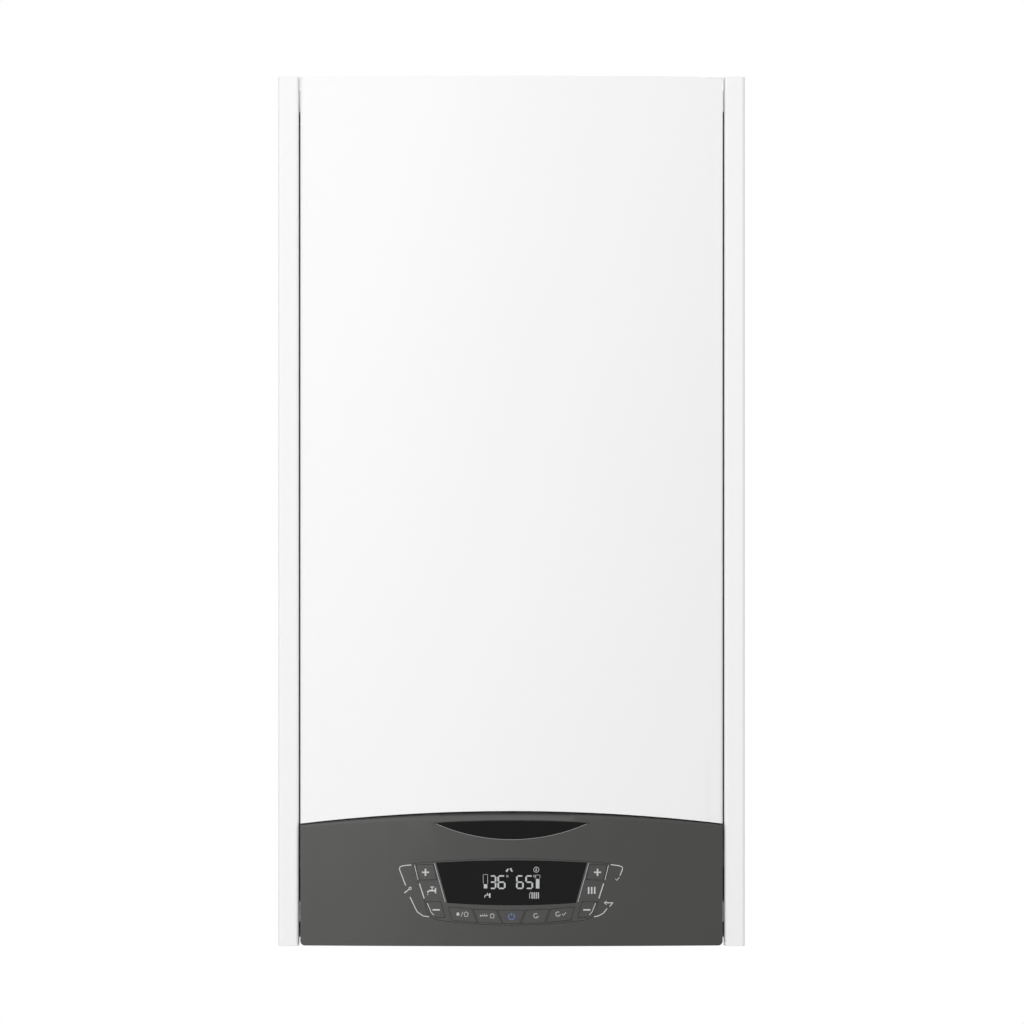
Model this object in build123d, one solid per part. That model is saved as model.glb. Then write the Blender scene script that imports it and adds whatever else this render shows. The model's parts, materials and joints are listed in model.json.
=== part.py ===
from build123d import *
import os
from math import cos, radians, sin, sqrt, tan

# Wall-hung combi boiler.  Millimetres, +Z up, +X to the right, the room side is -Y.
# The wall is the plane y = 0, and the origin lies between the two bolt holes of the wall bracket.

# ---------------------------------------------------------------- driving dimensions
width = 400.0
height = 745.0
depth = 319.0
hanging_drop = 45.0          # from the top of the casing down to the bracket's bolts
wall_clearance = 9.0         # air behind the casing

sheet = 1.0                  # casing and chamber sheet
frame_sheet = 1.2            # frame sheet
bend = 3.0                   # outer radius of a folded edge
seat = 0.3                   # play between two seated pieces
running = 0.06               # radial play of a shaft in its bearing

strip_width = 17.8           # side panel's strip beside the front panel
strip_setback = 17.5         # from the crown of the front panel back to the strips
panel_gap = 1.2
panel_bow = 16.0             # crown of the front panel over its width
panel_depth = 16.8           # from the panel's side edge back to its rim
arch_edge = 105.0            # panel's lower edge at its sides, above the casing's lower edge
arch_rise = 11.2
arch_gap = 1.0

hinge_clear = 79.0           # control box hinge, behind the crown of the front panel
hinge_height = 12.0          # and above the casing's lower edge
trunnion_radius = 4.0

tail_row = 62.0              # pipe connections, from the wall
tail_pitch = 65.0
tail_big = 13.2              # radius of a 3/4 inch tail
tail_small = 10.5            # radius of a 1/2 inch tail
tail_low = 5.0
plate_low = 34.0             # pipe plate above the casing's lower edge

flue_setback = 190.0
flue_inner = 30.2            # 60 mm flue pipe goes in here
flue_wall = 1.8
duct_radius = 50.0           # 100 mm air duct goes over this
duct_wall = 2.0
spigot_drop = 4.0            # flue spigot below the top of the casing

deck_drop = 30.0             # from the top of the casing down to the underside of the top panel
chamber_low = 299.0
chamber_half = 166.0
chamber_rear = 98.0
shelf_reach = 12.0           # of the frame's shelves under the chamber
chamber_clear = 37.0         # from the crown of the front panel back to the chamber
chamber_gasket = 5.0         # round the flue, between the chamber and the top panel
seal_thick = 2.0

pipe_radius = 9.0            # 18 mm copper
gas_pipe_radius = 8.0
vessel_pipe_radius = 4.0
riser_row = 116.0            # rising pipes, from the wall
riser_inset = 26.0           # and in from the chamber's sides
pump_across = 110.0
pump_height = 158.0
pump_radius = 44.0
shaft_radius = 3.0

vessel_radius = 150.0
vessel_thick = 80.0
vessel_wall = 1.5
vessel_height = 470.0

fan_across = -31.0
fan_drop = 63.0              # fan shaft below the top panel
fan_small_radius = 46.0
fan_growth = 16.0
fan_wall = 1.5

fascia_wall = 2.5
fascia_brow = 5.0            # top wall under the bevel
fascia_base = 0.5
bevel_centre = 108.5         # lower line of the bevel at the centre
bevel_side = 101.6           # and at the sides
bevel_slope = 62.0
bezel_sink = 0.2             # bezel below the fascia's face
bezel_thick = 3.8
key_play = 0.2
key_proud = 0.5
key_travel = 0.8
board_clear = 15.4           # face of the user board, behind the crown of the front panel
board_thick = 1.6
lcd_clear = 6.0

# ---------------------------------------------------------------- places worked out from them
casing_top = hanging_drop
casing_bottom = casing_top - height
deck_height = height - deck_drop
flue_spigot_top = height - spigot_drop
fan_height = deck_height - fan_drop
chamber_front = depth - chamber_clear
hinge_setback = depth - hinge_clear
board_front = depth - board_clear
side_x = width / 2
strip_front = -(depth - strip_setback)
panel_half = side_x - strip_width - panel_gap
bow_radius = (panel_half**2 + panel_bow**2) / (2 * panel_bow)
bow_centre = bow_radius - depth
panel_edge = -(depth - panel_bow)
panel_rim = panel_edge + panel_depth
frame_rear = -(wall_clearance + sheet)
frame_face = frame_rear - frame_sheet
frame_half = side_x - 16.0
shelf_inner = chamber_half - shelf_reach
riser_across = chamber_half - riser_inset
hinge_y = -hinge_setback
tail_y = -tail_row
riser_y = -riser_row
flue_y = -flue_setback
tail_spots = [index * tail_pitch for index in (-2, -1, 0, 1, 2)]
tail_radii = [tail_big, tail_small, tail_big, tail_small, tail_big]


def up(above):
    """Z of a height above the casing's lower edge."""
    return casing_bottom + above


deck_top = deck_height + sheet
chamber_top = deck_height - chamber_gasket
cover_front = -(chamber_front + seal_thick + sheet)
plate_top = plate_low + 1.5
nut_top = plate_top + 7.5


# ---------------------------------------------------------------- shapes
def block(across, along, upward):
    spans = (across, along, upward)
    size = [abs(high - low) for low, high in spans]
    middle = [(low + high) / 2 for low, high in spans]
    return Pos(*middle) * Box(*size)


def rod_x(y, z, radius, left, right):
    return Pos((left + right) / 2, y, z) * Rot(0, 90, 0) * Cylinder(radius, abs(right - left))


def rod_y(x, z, radius, back, front):
    return Pos(x, (back + front) / 2, z) * Rot(90, 0, 0) * Cylinder(radius, abs(back - front))


def rod_z(x, y, radius, low, high):
    return Pos(x, y, (low + high) / 2) * Cylinder(radius, abs(high - low))


def hex_z(x, y, flats, low, high):
    outline = RegularPolygon(flats / 2, 6, major_radius=False)
    return Pos(x, y, low) * extrude(outline, high - low)


def hex_y(x, z, flats, back, front):
    outline = RegularPolygon(flats / 2, 6, major_radius=False)
    return extrude(Plane.XZ.offset(-back) * (Pos(x, z) * outline), abs(back - front))


def bar(start, end, flats, sides=8):
    """Cast or drawn bar with flats, between two points."""
    run = Vector(*end) - Vector(*start)
    outline = Rot(0, 0, 180 / sides) * RegularPolygon(flats / 2, sides, major_radius=False)
    return Plane(origin=start, z_dir=run) * extrude(outline, run.length)


def drum(start, end, radius, sides=16):
    """Round body drawn with this many sides, its corners on the radius."""
    run = Vector(*end) - Vector(*start)
    return Plane(origin=start, z_dir=run) * extrude(RegularPolygon(radius, sides), run.length)


def drum_y(x, z, radius, back, front, sides=16):
    return drum((x, back, z), (x, front, z), radius, sides)


def clear_z(x, y, radius, low, high, sides=12):
    """Many-sided clearance hole that takes a round bar of this radius."""
    outline = RegularPolygon(radius, sides, major_radius=False)
    return Pos(x, y, low) * extrude(outline, high - low)


def closed(*curves):
    return make_face([edge for curve in curves for edge in curve.edges()])


def folded(points, thick, side, low, high, radius=bend):
    """Upright sheet whose plan follows the points, with rounded folds."""
    path = FilletPolyline(*points, radius=radius)
    return Pos(0, 0, low) * extrude(make_face(offset(path, thick, side=side)), high - low)


def punch(face, back, front):
    """Solid whose front view is the face, from y = back to y = front."""
    return extrude(Plane.XZ.offset(-back) * face, back - front)


def side_slab(face, left, right):
    """Solid whose side view (y, z) is the face, from x = left to x = right."""
    return extrude(Plane.YZ.offset(left) * face, right - left)


def bow_y(x, inset=0.0):
    """Y of the bowed front, or of a surface that lies inset behind it."""
    return bow_centre - sqrt((bow_radius - inset) ** 2 - x**2)


def bow_arc(half, inset=0.0):
    edge = bow_y(half, inset)
    return ThreePointArc((-half, edge), (0, bow_y(0, inset)), (half, edge))


def bow_plan(half, back, inset=0.0):
    edge = bow_y(half, inset)
    rest = Polyline((half, edge), (half, back), (-half, back), (-half, edge))
    return closed(bow_arc(half, inset), rest)


def bowed(face, outer, inner):
    """What the face's front view cuts from the layer between two insets of the bow."""
    box = face.bounding_box()
    half = max(abs(box.min.X), abs(box.max.X)) + 5
    ends = [
        Line((side * half, bow_y(half, outer)), (side * half, bow_y(half, inner)))
        for side in (-1, 1)
    ]
    plan = closed(bow_arc(half, outer), bow_arc(half, inner), *ends)
    low = box.min.Y - 1
    layer = Pos(0, 0, low) * extrude(plan, box.max.Y + 1 - low)
    return layer & punch(face, bow_y(half, inner) + 1, bow_y(0, outer) - 1)


def over_arch(half, side, crown, high):
    """Front view of all between an arch, which is carried on past its two ends, and a level."""
    sagitta = crown - side
    radius = (half**2 + sagitta**2) / (2 * sagitta)
    wide = half + 8
    low = up(crown) - radius + sqrt(radius**2 - wide**2)
    arc = ThreePointArc((-wide, low), (0, up(crown)), (wide, low))
    return closed(arc, Polyline((wide, low), (wide, up(high)), (-wide, up(high)), (-wide, low)))


def mirrored(shape):
    return mirror(shape, about=Plane.YZ)


# ---------------------------------------------------------------- hanging, frame and casing
bolt_across = 125.0
bolt_radius = 4.5
tongue_across = 80.0
tongue_half = 15.0
bracket_half = 150.0
bracket_low = -22.0
bracket_top = 14.0
tongue_top = 4.0
tongue_tip = 13.4
tongue_sheet = 2.0
tongue_play = 1.8
slot_play = 2.0


def wall_bracket():
    bracket = block((-bracket_half, bracket_half), (-tongue_sheet, 0), (bracket_low, bracket_top))
    for side in (-1, 1):
        bracket -= rod_y(side * bolt_across, 0, bolt_radius, 1, -5)
        across = (side * tongue_across - tongue_half, side * tongue_across + tongue_half)
        reach = frame_face - tongue_play
        bracket += block(across, (reach, 0), (tongue_top - tongue_sheet, tongue_top))
        bracket += block(across, (reach - tongue_sheet, reach), (tongue_top - tongue_sheet, tongue_tip))
    return bracket


frame_low = 44.0
frame_lip = 24.0             # depth of the frame's side flanges
head_inset = 14.0            # of the frame's head, behind the casing's top
shelf_setback = 17.0         # of the shelves behind the chamber's front
screw_heights = (110.0, 420.0, deck_height - 25)
screw_flats = 7.0
screw_head = 2.4
screw_across = side_x - 22.0
pad_size = 20.0
pad_across = 120.0
pad_low = 62.0


def rear_frame():
    front = frame_rear - frame_lip
    points = [(-frame_half, front), (-frame_half, frame_rear), (frame_half, frame_rear), (frame_half, front)]
    shell = folded(points, frame_sheet, Side.RIGHT, up(frame_low), up(deck_height - seat))
    hidden = (up(deck_height - 15), up(height - 7))
    shell += block((head_inset - frame_half, frame_half - head_inset), (frame_face, frame_rear), hidden)
    shelf_front = shelf_setback - chamber_front
    for side in (-1, 1):
        outer = side * frame_half
        inner = side * (frame_half - frame_sheet)
        low = up(chamber_low - frame_sheet)
        across = sorted((side * shelf_inner, outer))
        shell += block(across, (shelf_front, front + 6), (low, up(chamber_low)))
        shell += block(sorted((inner, outer)), (shelf_front, front), (low, up(chamber_low + 24)))
        slot = tongue_half + slot_play
        across = (side * tongue_across - slot, side * tongue_across + slot)
        shell -= block(across, (frame_face - 1, frame_rear + 1), (tongue_top - 11, tongue_top + seat))
        pad = (side * pad_across - pad_size / 2, side * pad_across + pad_size / 2)
        shell += block(pad, (frame_rear, 0), (up(pad_low), up(pad_low + pad_size)))
    return shell


ear_gap = seat
ear_thick = 1.7
filling_across = 97.5
spindle_radius = 3.5
relief_y = -138.0
relief_across = 2 * tail_pitch
relief_bore = 6.5
relief_wall = 2.0
plate_flange_top = 60.0
plate_setback = 12.0         # front edge of the pipe plate, behind the control box


def lower_frame():
    inner = frame_half + ear_gap
    outer = inner + ear_thick
    rear = frame_face - seat
    plate = block((-outer, outer), (box_back + plate_setback, rear), (up(plate_low), up(plate_top)))
    flange = frame_half - frame_sheet - seat - 1
    plate += block((-flange, flange), (rear - frame_sheet, rear), (up(plate_low), up(plate_flange_top)))
    foot = plate_low - 8
    top = plate_flange_top
    outline = [(hinge_y - 15, 4), (hinge_y + 15, 4), (hinge_y + 35, foot), (rear, foot)]
    outline += [(rear, top), (hinge_y + 40, top), (hinge_y + 8, top + 10), (hinge_y - 15, 30)]
    ear_path = Polyline(*[(y, up(above)) for y, above in outline], close=True)
    ear = side_slab(closed(ear_path), inner, outer)
    ear -= rod_x(hinge_y, up(hinge_height), trunnion_radius + running, inner - 1, outer + 1)
    plate += [ear, mirrored(ear)]
    for spot, radius in zip(tail_spots, tail_radii):
        plate -= clear_z(spot, tail_y, radius + 0.6, up(plate_low - 1), up(plate_top + 1), 8)
    plate -= clear_z(filling_across, tail_y, spindle_radius + 1.5, up(plate_low - 1), up(plate_top + 1), 8)
    outlet = relief_bore + relief_wall + 1.5
    plate -= clear_z(relief_across, relief_y, outlet + 1, up(plate_low - 1), up(plate_top + 1), 8)
    return plate


return_depth = 26.5          # side panel's inner return, behind the strip
rear_return = 28.0           # and its return along the wall


def side_panel_left():
    rear = -wall_clearance
    inner = -(side_x - strip_width)
    points = [(-side_x + rear_return, rear), (-side_x, rear), (-side_x, strip_front)]
    points += [(inner, strip_front), (inner, strip_front + return_depth)]
    return folded(points, sheet, Side.LEFT, up(0), up(height))


cap_across = 115.0
cap_radius = 46.0
lip_half = 150.0
top_flange = 19.0
lip_top = height - sheet - seat
spigot_flange = duct_radius + 8
flange_thick = 3.0
flange_screws = (45, 135, 225, 315)


def top_panel():
    half = side_x - sheet - seat
    rear = frame_face - seat
    front = -(chamber_front + 6.5)
    notch_rear = strip_front + return_depth + 0.8
    through = (up(deck_height - 1), up(deck_top + 1))
    deck = block((-half, half), (front, rear), (up(deck_height), up(deck_top)))
    deck -= clear_z(0, flue_y, duct_radius + 1.5, *through, 32)
    rails = []
    for side in (-1, 1):
        notch = sorted((side * (panel_half - sheet - seat), side * (half + 1)))
        deck -= block(notch, (front - 1, notch_rear), through)
        deck -= clear_z(side * cap_across, flue_y, cap_radius - 6, *through)
        edge = sorted((side * half, side * (half - sheet)))
        rails.append(block(edge, (notch_rear, rear), (up(deck_top), up(deck_top + top_flange))))
    lip = block((-lip_half, lip_half), (front, front + sheet), (up(deck_top), up(lip_top)))
    return Compound([deck, lip, *rails])


def flange_screw_spot(turn):
    reach = duct_radius + 8
    return reach * cos(radians(turn)), flue_y + reach * sin(radians(turn))


def flue_spigot():
    top = up(flue_spigot_top)
    flange = Rectangle(2 * spigot_flange, 2 * spigot_flange)
    flange = chamfer(flange.vertices(), 14)
    outer = Pos(0, flue_y, up(deck_top)) * extrude(flange, flange_thick)
    outer += rod_z(0, flue_y, duct_radius, up(deck_top), top)
    outer -= drum((0, flue_y, up(deck_top - 1)), (0, flue_y, top + 1), duct_radius - duct_wall, 32)
    flue_low = up(deck_top - 14)
    flue_outer = flue_inner + flue_wall
    inner = drum((0, flue_y, flue_low), (0, flue_y, top), flue_outer, 32)
    rib = block((flue_outer - 1, duct_radius - duct_wall + 1), (-1, 1), (up(deck_top), up(deck_top + 12)))
    for turn in (90, 210, 330):
        outer += Pos(0, flue_y, 0) * Rot(0, 0, turn) * rib
    return (outer + inner) - rod_z(0, flue_y, flue_inner, flue_low - 1, top + 1)


def seals():
    gasket = drum((0, flue_y, up(chamber_top)), (0, flue_y, up(deck_height)), duct_radius + 12, 32)
    gasket -= drum((0, flue_y, up(chamber_top - 1)), (0, flue_y, up(deck_height + 1)), duct_radius + 1.5, 32)
    half = chamber_half - 0.5
    low = chamber_low + 1.5
    high = chamber_top - 0.5
    back = -chamber_front
    frame = block((-half, half), (back - seal_thick, back), (up(low), up(high)))
    frame -= block((8 - half, half - 8), (back - 4, back + 1), (up(low + 8), up(high - 8)))
    return Compound([gasket, frame])


def air_inlet_covers():
    covers = []
    for side in (-1, 1):
        ends = [(side * cap_across, flue_y, up(deck_top + rise)) for rise in (0, 2)]
        covers.append(drum(*ends, cap_radius, 32))
    return Compound(covers)


rail_low = 104.5
rail_top = 122.0
rail_depth = 15.0
rail_front = 35.0 - depth
tongue_place = 130.0         # front panel's lower tongues
tongue_half_width = 10.0
tongue_low = 98.0
clip_half = 8.0
clip_sheet = 0.6
clip_low = tongue_low - 1.5


def front_rail():
    half = side_x - strip_width - seat
    rail_back = rail_front + rail_depth
    rail = block((-half, half), (rail_front, rail_back), (up(rail_low), up(rail_low + frame_sheet)))
    rail += block((-half, half), (rail_back - frame_sheet, rail_back), (up(rail_low), up(rail_top)))
    rear_leg = (panel_rim + sheet + seat, panel_rim + sheet + seat + clip_sheet)
    front_leg = (panel_rim - seat - clip_sheet, panel_rim - seat)
    for side in (-1, 1):
        across = (side * tongue_place - clip_half, side * tongue_place + clip_half)
        rail += block(across, rear_leg, (up(clip_low), up(rail_low + frame_sheet)))
        rail += block(across, (rear_leg[0], rail_front + 2), (up(rail_low), up(rail_low + frame_sheet)))
        rail += block(across, front_leg, (up(clip_low), up(tongue_low + 5)))
        rail += block(across, (front_leg[0], rear_leg[1]), (up(clip_low - clip_sheet), up(clip_low)))
    return rail


def casing_screws():
    screws = []
    for side in (-1, 1):
        for above in screw_heights:
            x = side * screw_across
            screws.append(hex_y(x, up(above), screw_flats, screw_head - wall_clearance, -wall_clearance))
    for turn in flange_screws:
        x, y = flange_screw_spot(turn)
        seated = up(deck_top + flange_thick)
        screws.append(hex_z(x, y, screw_flats, seated, seated + screw_head))
    return Compound(screws)


tab_count = 6                # folded tabs along the front panel's arched edge
tab_slit = 5.0
hook_drop = 15.0


def panel_space(inset, back, low, high):
    """All between the bowed front and y = back, this far in from its faces."""
    return Pos(0, 0, up(low)) * extrude(bow_plan(panel_half - inset, back, inset), high - low)


def above_arch(lift, high):
    crown = arch_edge + arch_rise + lift
    return punch(over_arch(panel_half, arch_edge + lift, crown, high), panel_rim + 5, -depth - 2)


def front_panel():
    skin = panel_space(0, panel_rim, arch_edge, height) & above_arch(0, height + 1)
    skin -= panel_space(sheet, panel_rim + 3, arch_edge - 5, height - sheet)
    over = arch_edge + arch_rise + 10
    along_arch = above_arch(0, over) - above_arch(sheet, over + 1)
    edge_return = panel_space(sheet, panel_rim, arch_edge, over) & along_arch
    pitch = 2 * (panel_half - sheet) / tab_count
    pieces = [skin]
    for index in range(tab_count):
        left = sheet - panel_half + index * pitch
        across = (left + tab_slit / 2, left + pitch - tab_slit / 2)
        pieces.append(edge_return & block(across, (0, -depth), (up(arch_edge - 1), up(over))))
    hook_back = -(chamber_front + seal_thick)
    hook = block((-lip_half, lip_half), (panel_rim, hook_back), (up(height - sheet), up(height)))
    hook += block((-lip_half, lip_half), (hook_back - sheet, hook_back), (up(height - hook_drop), up(height)))
    pieces.append(hook)
    tongue_top = arch_edge + arch_rise * (1 - (tongue_place / panel_half) ** 2) + sheet
    for side in (-1, 1):
        across = (side * tongue_place - tongue_half_width, side * tongue_place + tongue_half_width)
        pieces.append(block(across, (panel_rim, panel_rim + sheet), (up(tongue_low), up(tongue_top))))
    return Compound(pieces)


# ---------------------------------------------------------------- sealed chamber
chamber_roof = chamber_top
cover_play = seat
sight_height = 372.0
sight_radius = 15.5
clip_heights = (380.0, deck_height - 85)
clip_rear = 32.0 - chamber_front


def chamber_housing():
    lip = 10.0
    half = chamber_half
    inner = half - sheet
    span = (up(chamber_low + sheet), up(chamber_roof - sheet))
    wall = block((-half, half), (-chamber_front, -chamber_rear), span)
    through = (span[0] - 1, span[1] + 1)
    wall -= block((-inner, inner), (sheet - chamber_front, -chamber_rear - sheet), through)
    wall -= block((lip - half, half - lip), (-chamber_front - 1, 2 - chamber_front), through)
    area = ((-half, half), (-chamber_front, -chamber_rear))
    floor = block(*area, (up(chamber_low), up(chamber_low + sheet)))
    through = (up(chamber_low - 1), up(chamber_low + 2))
    floor -= clear_z(0, riser_y, gas_pipe_radius + 0.8, *through)
    for side in (-1, 1):
        floor -= clear_z(side * riser_across, riser_y, pipe_radius + 0.6, *through)
    roof = block(*area, (up(chamber_roof - sheet), up(chamber_roof)))
    ends = [(0, flue_y, up(chamber_roof + rise)) for rise in (-2, 1)]
    roof -= drum(*ends, duct_radius - duct_wall, 32)
    return Compound([wall, floor, roof])


def chamber_cover():
    half = chamber_half + cover_play + sheet
    low = chamber_low - cover_play - sheet
    high = chamber_roof + cover_play + sheet
    back = cover_front + 17
    cover = block((-half, half), (cover_front, back), (up(low), up(high)))
    inside = (up(low + sheet), up(high - sheet))
    cover -= block((sheet - half, half - sheet), (cover_front + sheet, back + 1), inside)
    z = up(sight_height)
    cup = drum_y(0, z, sight_radius + 2.8, cover_front + 3.5, cover_front + sheet - 0.1, 20)
    cup -= drum_y(0, z, sight_radius + 0.4, cover_front + 4, cover_front + sheet, 20)
    return (cover + cup) - drum_y(0, z, sight_radius - 2.5, cover_front + 4, cover_front - 1, 20)


def sight_glass():
    face = cover_front + sheet + seat
    return drum_y(0, up(sight_height), sight_radius, face + 2, face, 20)


def chamber_clips():
    clips = []
    plate_inner = chamber_half + cover_play + sheet + seat
    plate_outer = plate_inner + 0.8
    nose = cover_front - seat
    for side in (-1, 1):
        for above in clip_heights:
            span = (up(above - 9), up(above + 9))
            outer = side * plate_outer
            clip = block(sorted((side * plate_inner, outer)), (nose - 0.6, clip_rear), span)
            clip += block(sorted((side * (chamber_half - 6), outer)), (nose - 0.6, nose), span)
            clip += block(sorted((side * chamber_half, outer)), (clip_rear - 14, clip_rear), span)
            clips.append(clip)
    return Compound(clips)


box_half = chamber_half - 24.0
box_front = 20.0 - chamber_front
box_rear = -127.0
box_low = 352.0
box_top = 472.0
box_sheet = 1.2
board_fibre = 12.0
fibre_low = 364.0


def combustion_box():
    outer = block((-box_half, box_half), (box_front, box_rear), (up(chamber_low + sheet + seat), up(box_top)))
    inner = (box_sheet - box_half, box_half - box_sheet)
    deep = (box_front + box_sheet, box_rear - box_sheet)
    outer -= block(inner, deep, (up(chamber_low), up(box_top + 1)))
    return outer - block(inner, (box_front - 1, box_rear + 1), (up(chamber_low), up(box_low)))


def insulation_boards():
    gap = box_sheet + seat
    high = up(box_top - 1)
    low = up(fibre_low)
    front = (box_front + gap, box_front + gap + board_fibre)
    rear = (box_rear - gap - board_fibre, box_rear - gap)
    boards = [block((gap - box_half, box_half - gap), along, (low, high)) for along in (front, rear)]
    ends = (front[1] + seat, rear[0] - seat)
    for side in (-1, 1):
        across = sorted((side * (box_half - gap), side * (box_half - gap - board_fibre)))
        boards.append(block(across, ends, (low, high)))
    return Compound(boards)


burner_front = box_front + 12
burner_rear = box_rear - 11
burner_half = box_half - 19.5
blade_end = 7.0              # of the rails past the last blade's middle
blade_count = 12
blade_pitch = 2 * (burner_half - blade_end) / (blade_count - 1)
blade_low = 318.0
blade_top = 350.0


def blade_across(index):
    return (index - (blade_count - 1) / 2) * blade_pitch


def burner():
    rails = [(burner_front, burner_front + 12), (burner_rear - 12, burner_rear)]
    span = (up(chamber_low + sheet), up(blade_low))
    across = (-burner_half, burner_half)
    body = block(across, rails[0], span) + block(across, rails[1], span)
    throat, waist, shoulder = blade_low - 3, blade_low + 12, blade_top - 8
    profile = [(2, throat), (2, waist), (6, shoulder), (6, blade_top)]
    profile += [(-x, above) for x, above in reversed(profile)]
    outline = make_face(Polyline(*[(x, up(above)) for x, above in profile], close=True))
    blade = punch(outline, burner_rear, burner_front)
    for index in range(blade_count):
        body += Pos(blade_across(index), 0, 0) * blade
    return body


manifold_half = box_half - 18
manifold_low = 320.0
manifold_top = 336.0
jet_flats = 7.0


def gas_manifold():
    along = (burner_rear + 12, riser_y + 8)
    rail = block((-manifold_half, manifold_half), along, (up(manifold_low), up(manifold_top)))
    rail += drum((0, riser_y, up(manifold_low - 8)), (0, riser_y, up(manifold_low + 2)), gas_pipe_radius)
    jet_height = up((manifold_low + manifold_top) / 2)
    for index in range(blade_count):
        rail += hex_y(blade_across(index), jet_height, jet_flats, along[0] + 1, burner_rear + seat)
    return rail


electrode_spots = (-28.0, 0.0, 28.0)
electrode_half = 36.0


def electrodes():
    rear = burner_front - seat
    low = blade_low - 12
    bracket = block((-electrode_half, electrode_half), (burner_front - 8, rear), (up(low), up(low + 2)))
    bracket += block((-electrode_half, electrode_half), (rear - 1.2, rear), (up(low), up(low + 10)))
    pin = burner_front - 6
    for x in electrode_spots:
        wire = (x - 0.8, x + 0.8)
        bracket += hex_z(x, pin + 0.8, 5.2, up(low + 2), up(blade_top - 2))
        bracket += block(wire, (pin, pin + 1.6), (up(blade_top - 3), up(blade_top + 6)))
        bracket += block(wire, (pin, burner_front + 10), (up(blade_top + 4.4), up(blade_top + 6)))
    return bracket


fin_count = 10
fin_half = chamber_half - 46.0
exchanger_front = box_front + 6
exchanger_rear = -130.0
exchanger_low = box_top + seat
exchanger_top = 548.0
tube_rows = (exchanger_front + 34, exchanger_rear - 34)
header_inner = chamber_half - 39.0
header_low = 490.0
header_top = 530.0
riser_top = 470.0            # where the rising pipes meet the headers' stubs


def heat_exchanger():
    fin_low, fin_high = up(exchanger_low + 4), up(exchanger_top - 4)
    cheek = (up(exchanger_low), up(exchanger_top))
    core = block((-fin_half - 1, -fin_half), (exchanger_front, exchanger_rear), cheek)
    core += mirrored(core)
    pitch = 2 * fin_half / (fin_count + 1)
    for index in range(fin_count):
        x = (index + 1) * pitch - fin_half
        core += block((x - 0.6, x + 0.6), (exchanger_front + 2, exchanger_rear - 2), (fin_low, fin_high))
    middle = up((header_low + header_top) / 2)
    tube = [(-20, 0), (-15, 8), (15, 8), (20, 0), (15, -8), (-15, -8)]
    for row in tube_rows:
        outline = make_face(Polyline(*[(row + y, middle + z) for y, z in tube], close=True))
        core += side_slab(outline, -header_inner - 1, header_inner + 1)
    for side in (-1, 1):
        across = sorted((side * header_inner, side * (riser_across + 10)))
        core += block(across, (exchanger_front + 6, riser_y + 8), (up(header_low), up(header_top)))
        stub = [(side * riser_across, riser_y, up(above)) for above in (riser_top, header_low + 2)]
        core += drum(*stub, pipe_radius)
    return core


hood_sheet = 1.0
riser_left = -82.0
riser_right = 20.0
riser_front = -157.7
riser_back = -130.0
riser_roof = deck_height - 25
hood_shoulder = 590.0


def flue_hood():
    def form(inset):
        low = up(exchanger_top + seat) - (1 if inset else 0)
        shoulder = up(hood_shoulder)
        across = (riser_left + inset, riser_right - inset)
        along = (riser_front + inset, riser_back - inset)
        skirt = fin_half + 1 - inset
        front_view = [(-skirt, low), (across[0], shoulder), (across[1], shoulder), (skirt, low)]
        side_view = [(exchanger_front + inset, low), (along[0], shoulder), (along[1], shoulder)]
        side_view.append((exchanger_rear - inset, low))
        shape = punch(make_face(Polyline(*front_view, close=True)), 0, -depth)
        shape &= side_slab(make_face(Polyline(*side_view, close=True)), -side_x, side_x)
        return shape + block(across, along, (shoulder - 0.5, up(riser_roof) - inset))

    hood = form(0) - form(hood_sheet)
    return hood - drum_y(fan_across, up(fan_height), 26, riser_front + 2, riser_front - 1, 24)


fan_rear = riser_front - seat
fan_front = 60.0 - chamber_front
motor_bore = shaft_radius + running


def volute_point(turn, extra):
    radius = fan_small_radius + fan_growth * (turn - 90) / 270 - extra
    x = fan_across + radius * cos(radians(turn))
    z = up(fan_height) + radius * sin(radians(turn))
    return (x, z)


def volute_face(extra):
    """Front view of the fan's spiral and its upright mouth, this far inside the wall."""
    spiral = [volute_point(turn, extra) for turn in range(90, 361, 15)]
    top = up(fan_height) + fan_small_radius - extra
    return closed(Polyline(*spiral, (spiral[-1][0], top), close=True))


def fan_housing():
    outlet_low = up(fan_height) + fan_small_radius - fan_wall - 1
    outlet_top = up(deck_top - 14) - seat
    housing = punch(volute_face(0), fan_rear, fan_front)
    spots = [(0, flue_y, z) for z in (outlet_low + 0.5, outlet_top)]
    housing += drum(*spots, flue_inner + flue_wall, 24)
    housing -= punch(volute_face(fan_wall), fan_rear - fan_wall, fan_front + fan_wall)
    housing -= drum((0, flue_y, outlet_low - 4), (0, flue_y, outlet_top + 1), flue_inner - 0.4, 24)
    housing -= drum_y(fan_across, up(fan_height), 24, fan_rear + 1, fan_rear - 3, 16)
    return housing - drum_y(fan_across, up(fan_height), 6, fan_front + 3, fan_front - 1)


impeller_blades = 12


def fan_impeller():
    z = up(fan_height)
    radius = fan_small_radius - fan_wall - 6
    front = fan_front + fan_wall + 3
    wheel = drum_y(fan_across, z, radius, front + 2, front, 24)
    wheel += rod_y(fan_across, z, shaft_radius, front + 18, fan_front - 22)
    wheel += drum_y(fan_across, z, 8, front + 18, front + 1, 8)
    back = fan_rear - fan_wall - 4
    for index in range(impeller_blades):
        turn = index * 360 / impeller_blades
        blade = Rot(0, turn, 0) * Pos(radius - 6, 0, 0) * Rot(0, 35, 0) * Box(9, back - front - 1, 1)
        wheel += Pos(fan_across, (back + front + 1) / 2, z) * blade
    return wheel


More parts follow.
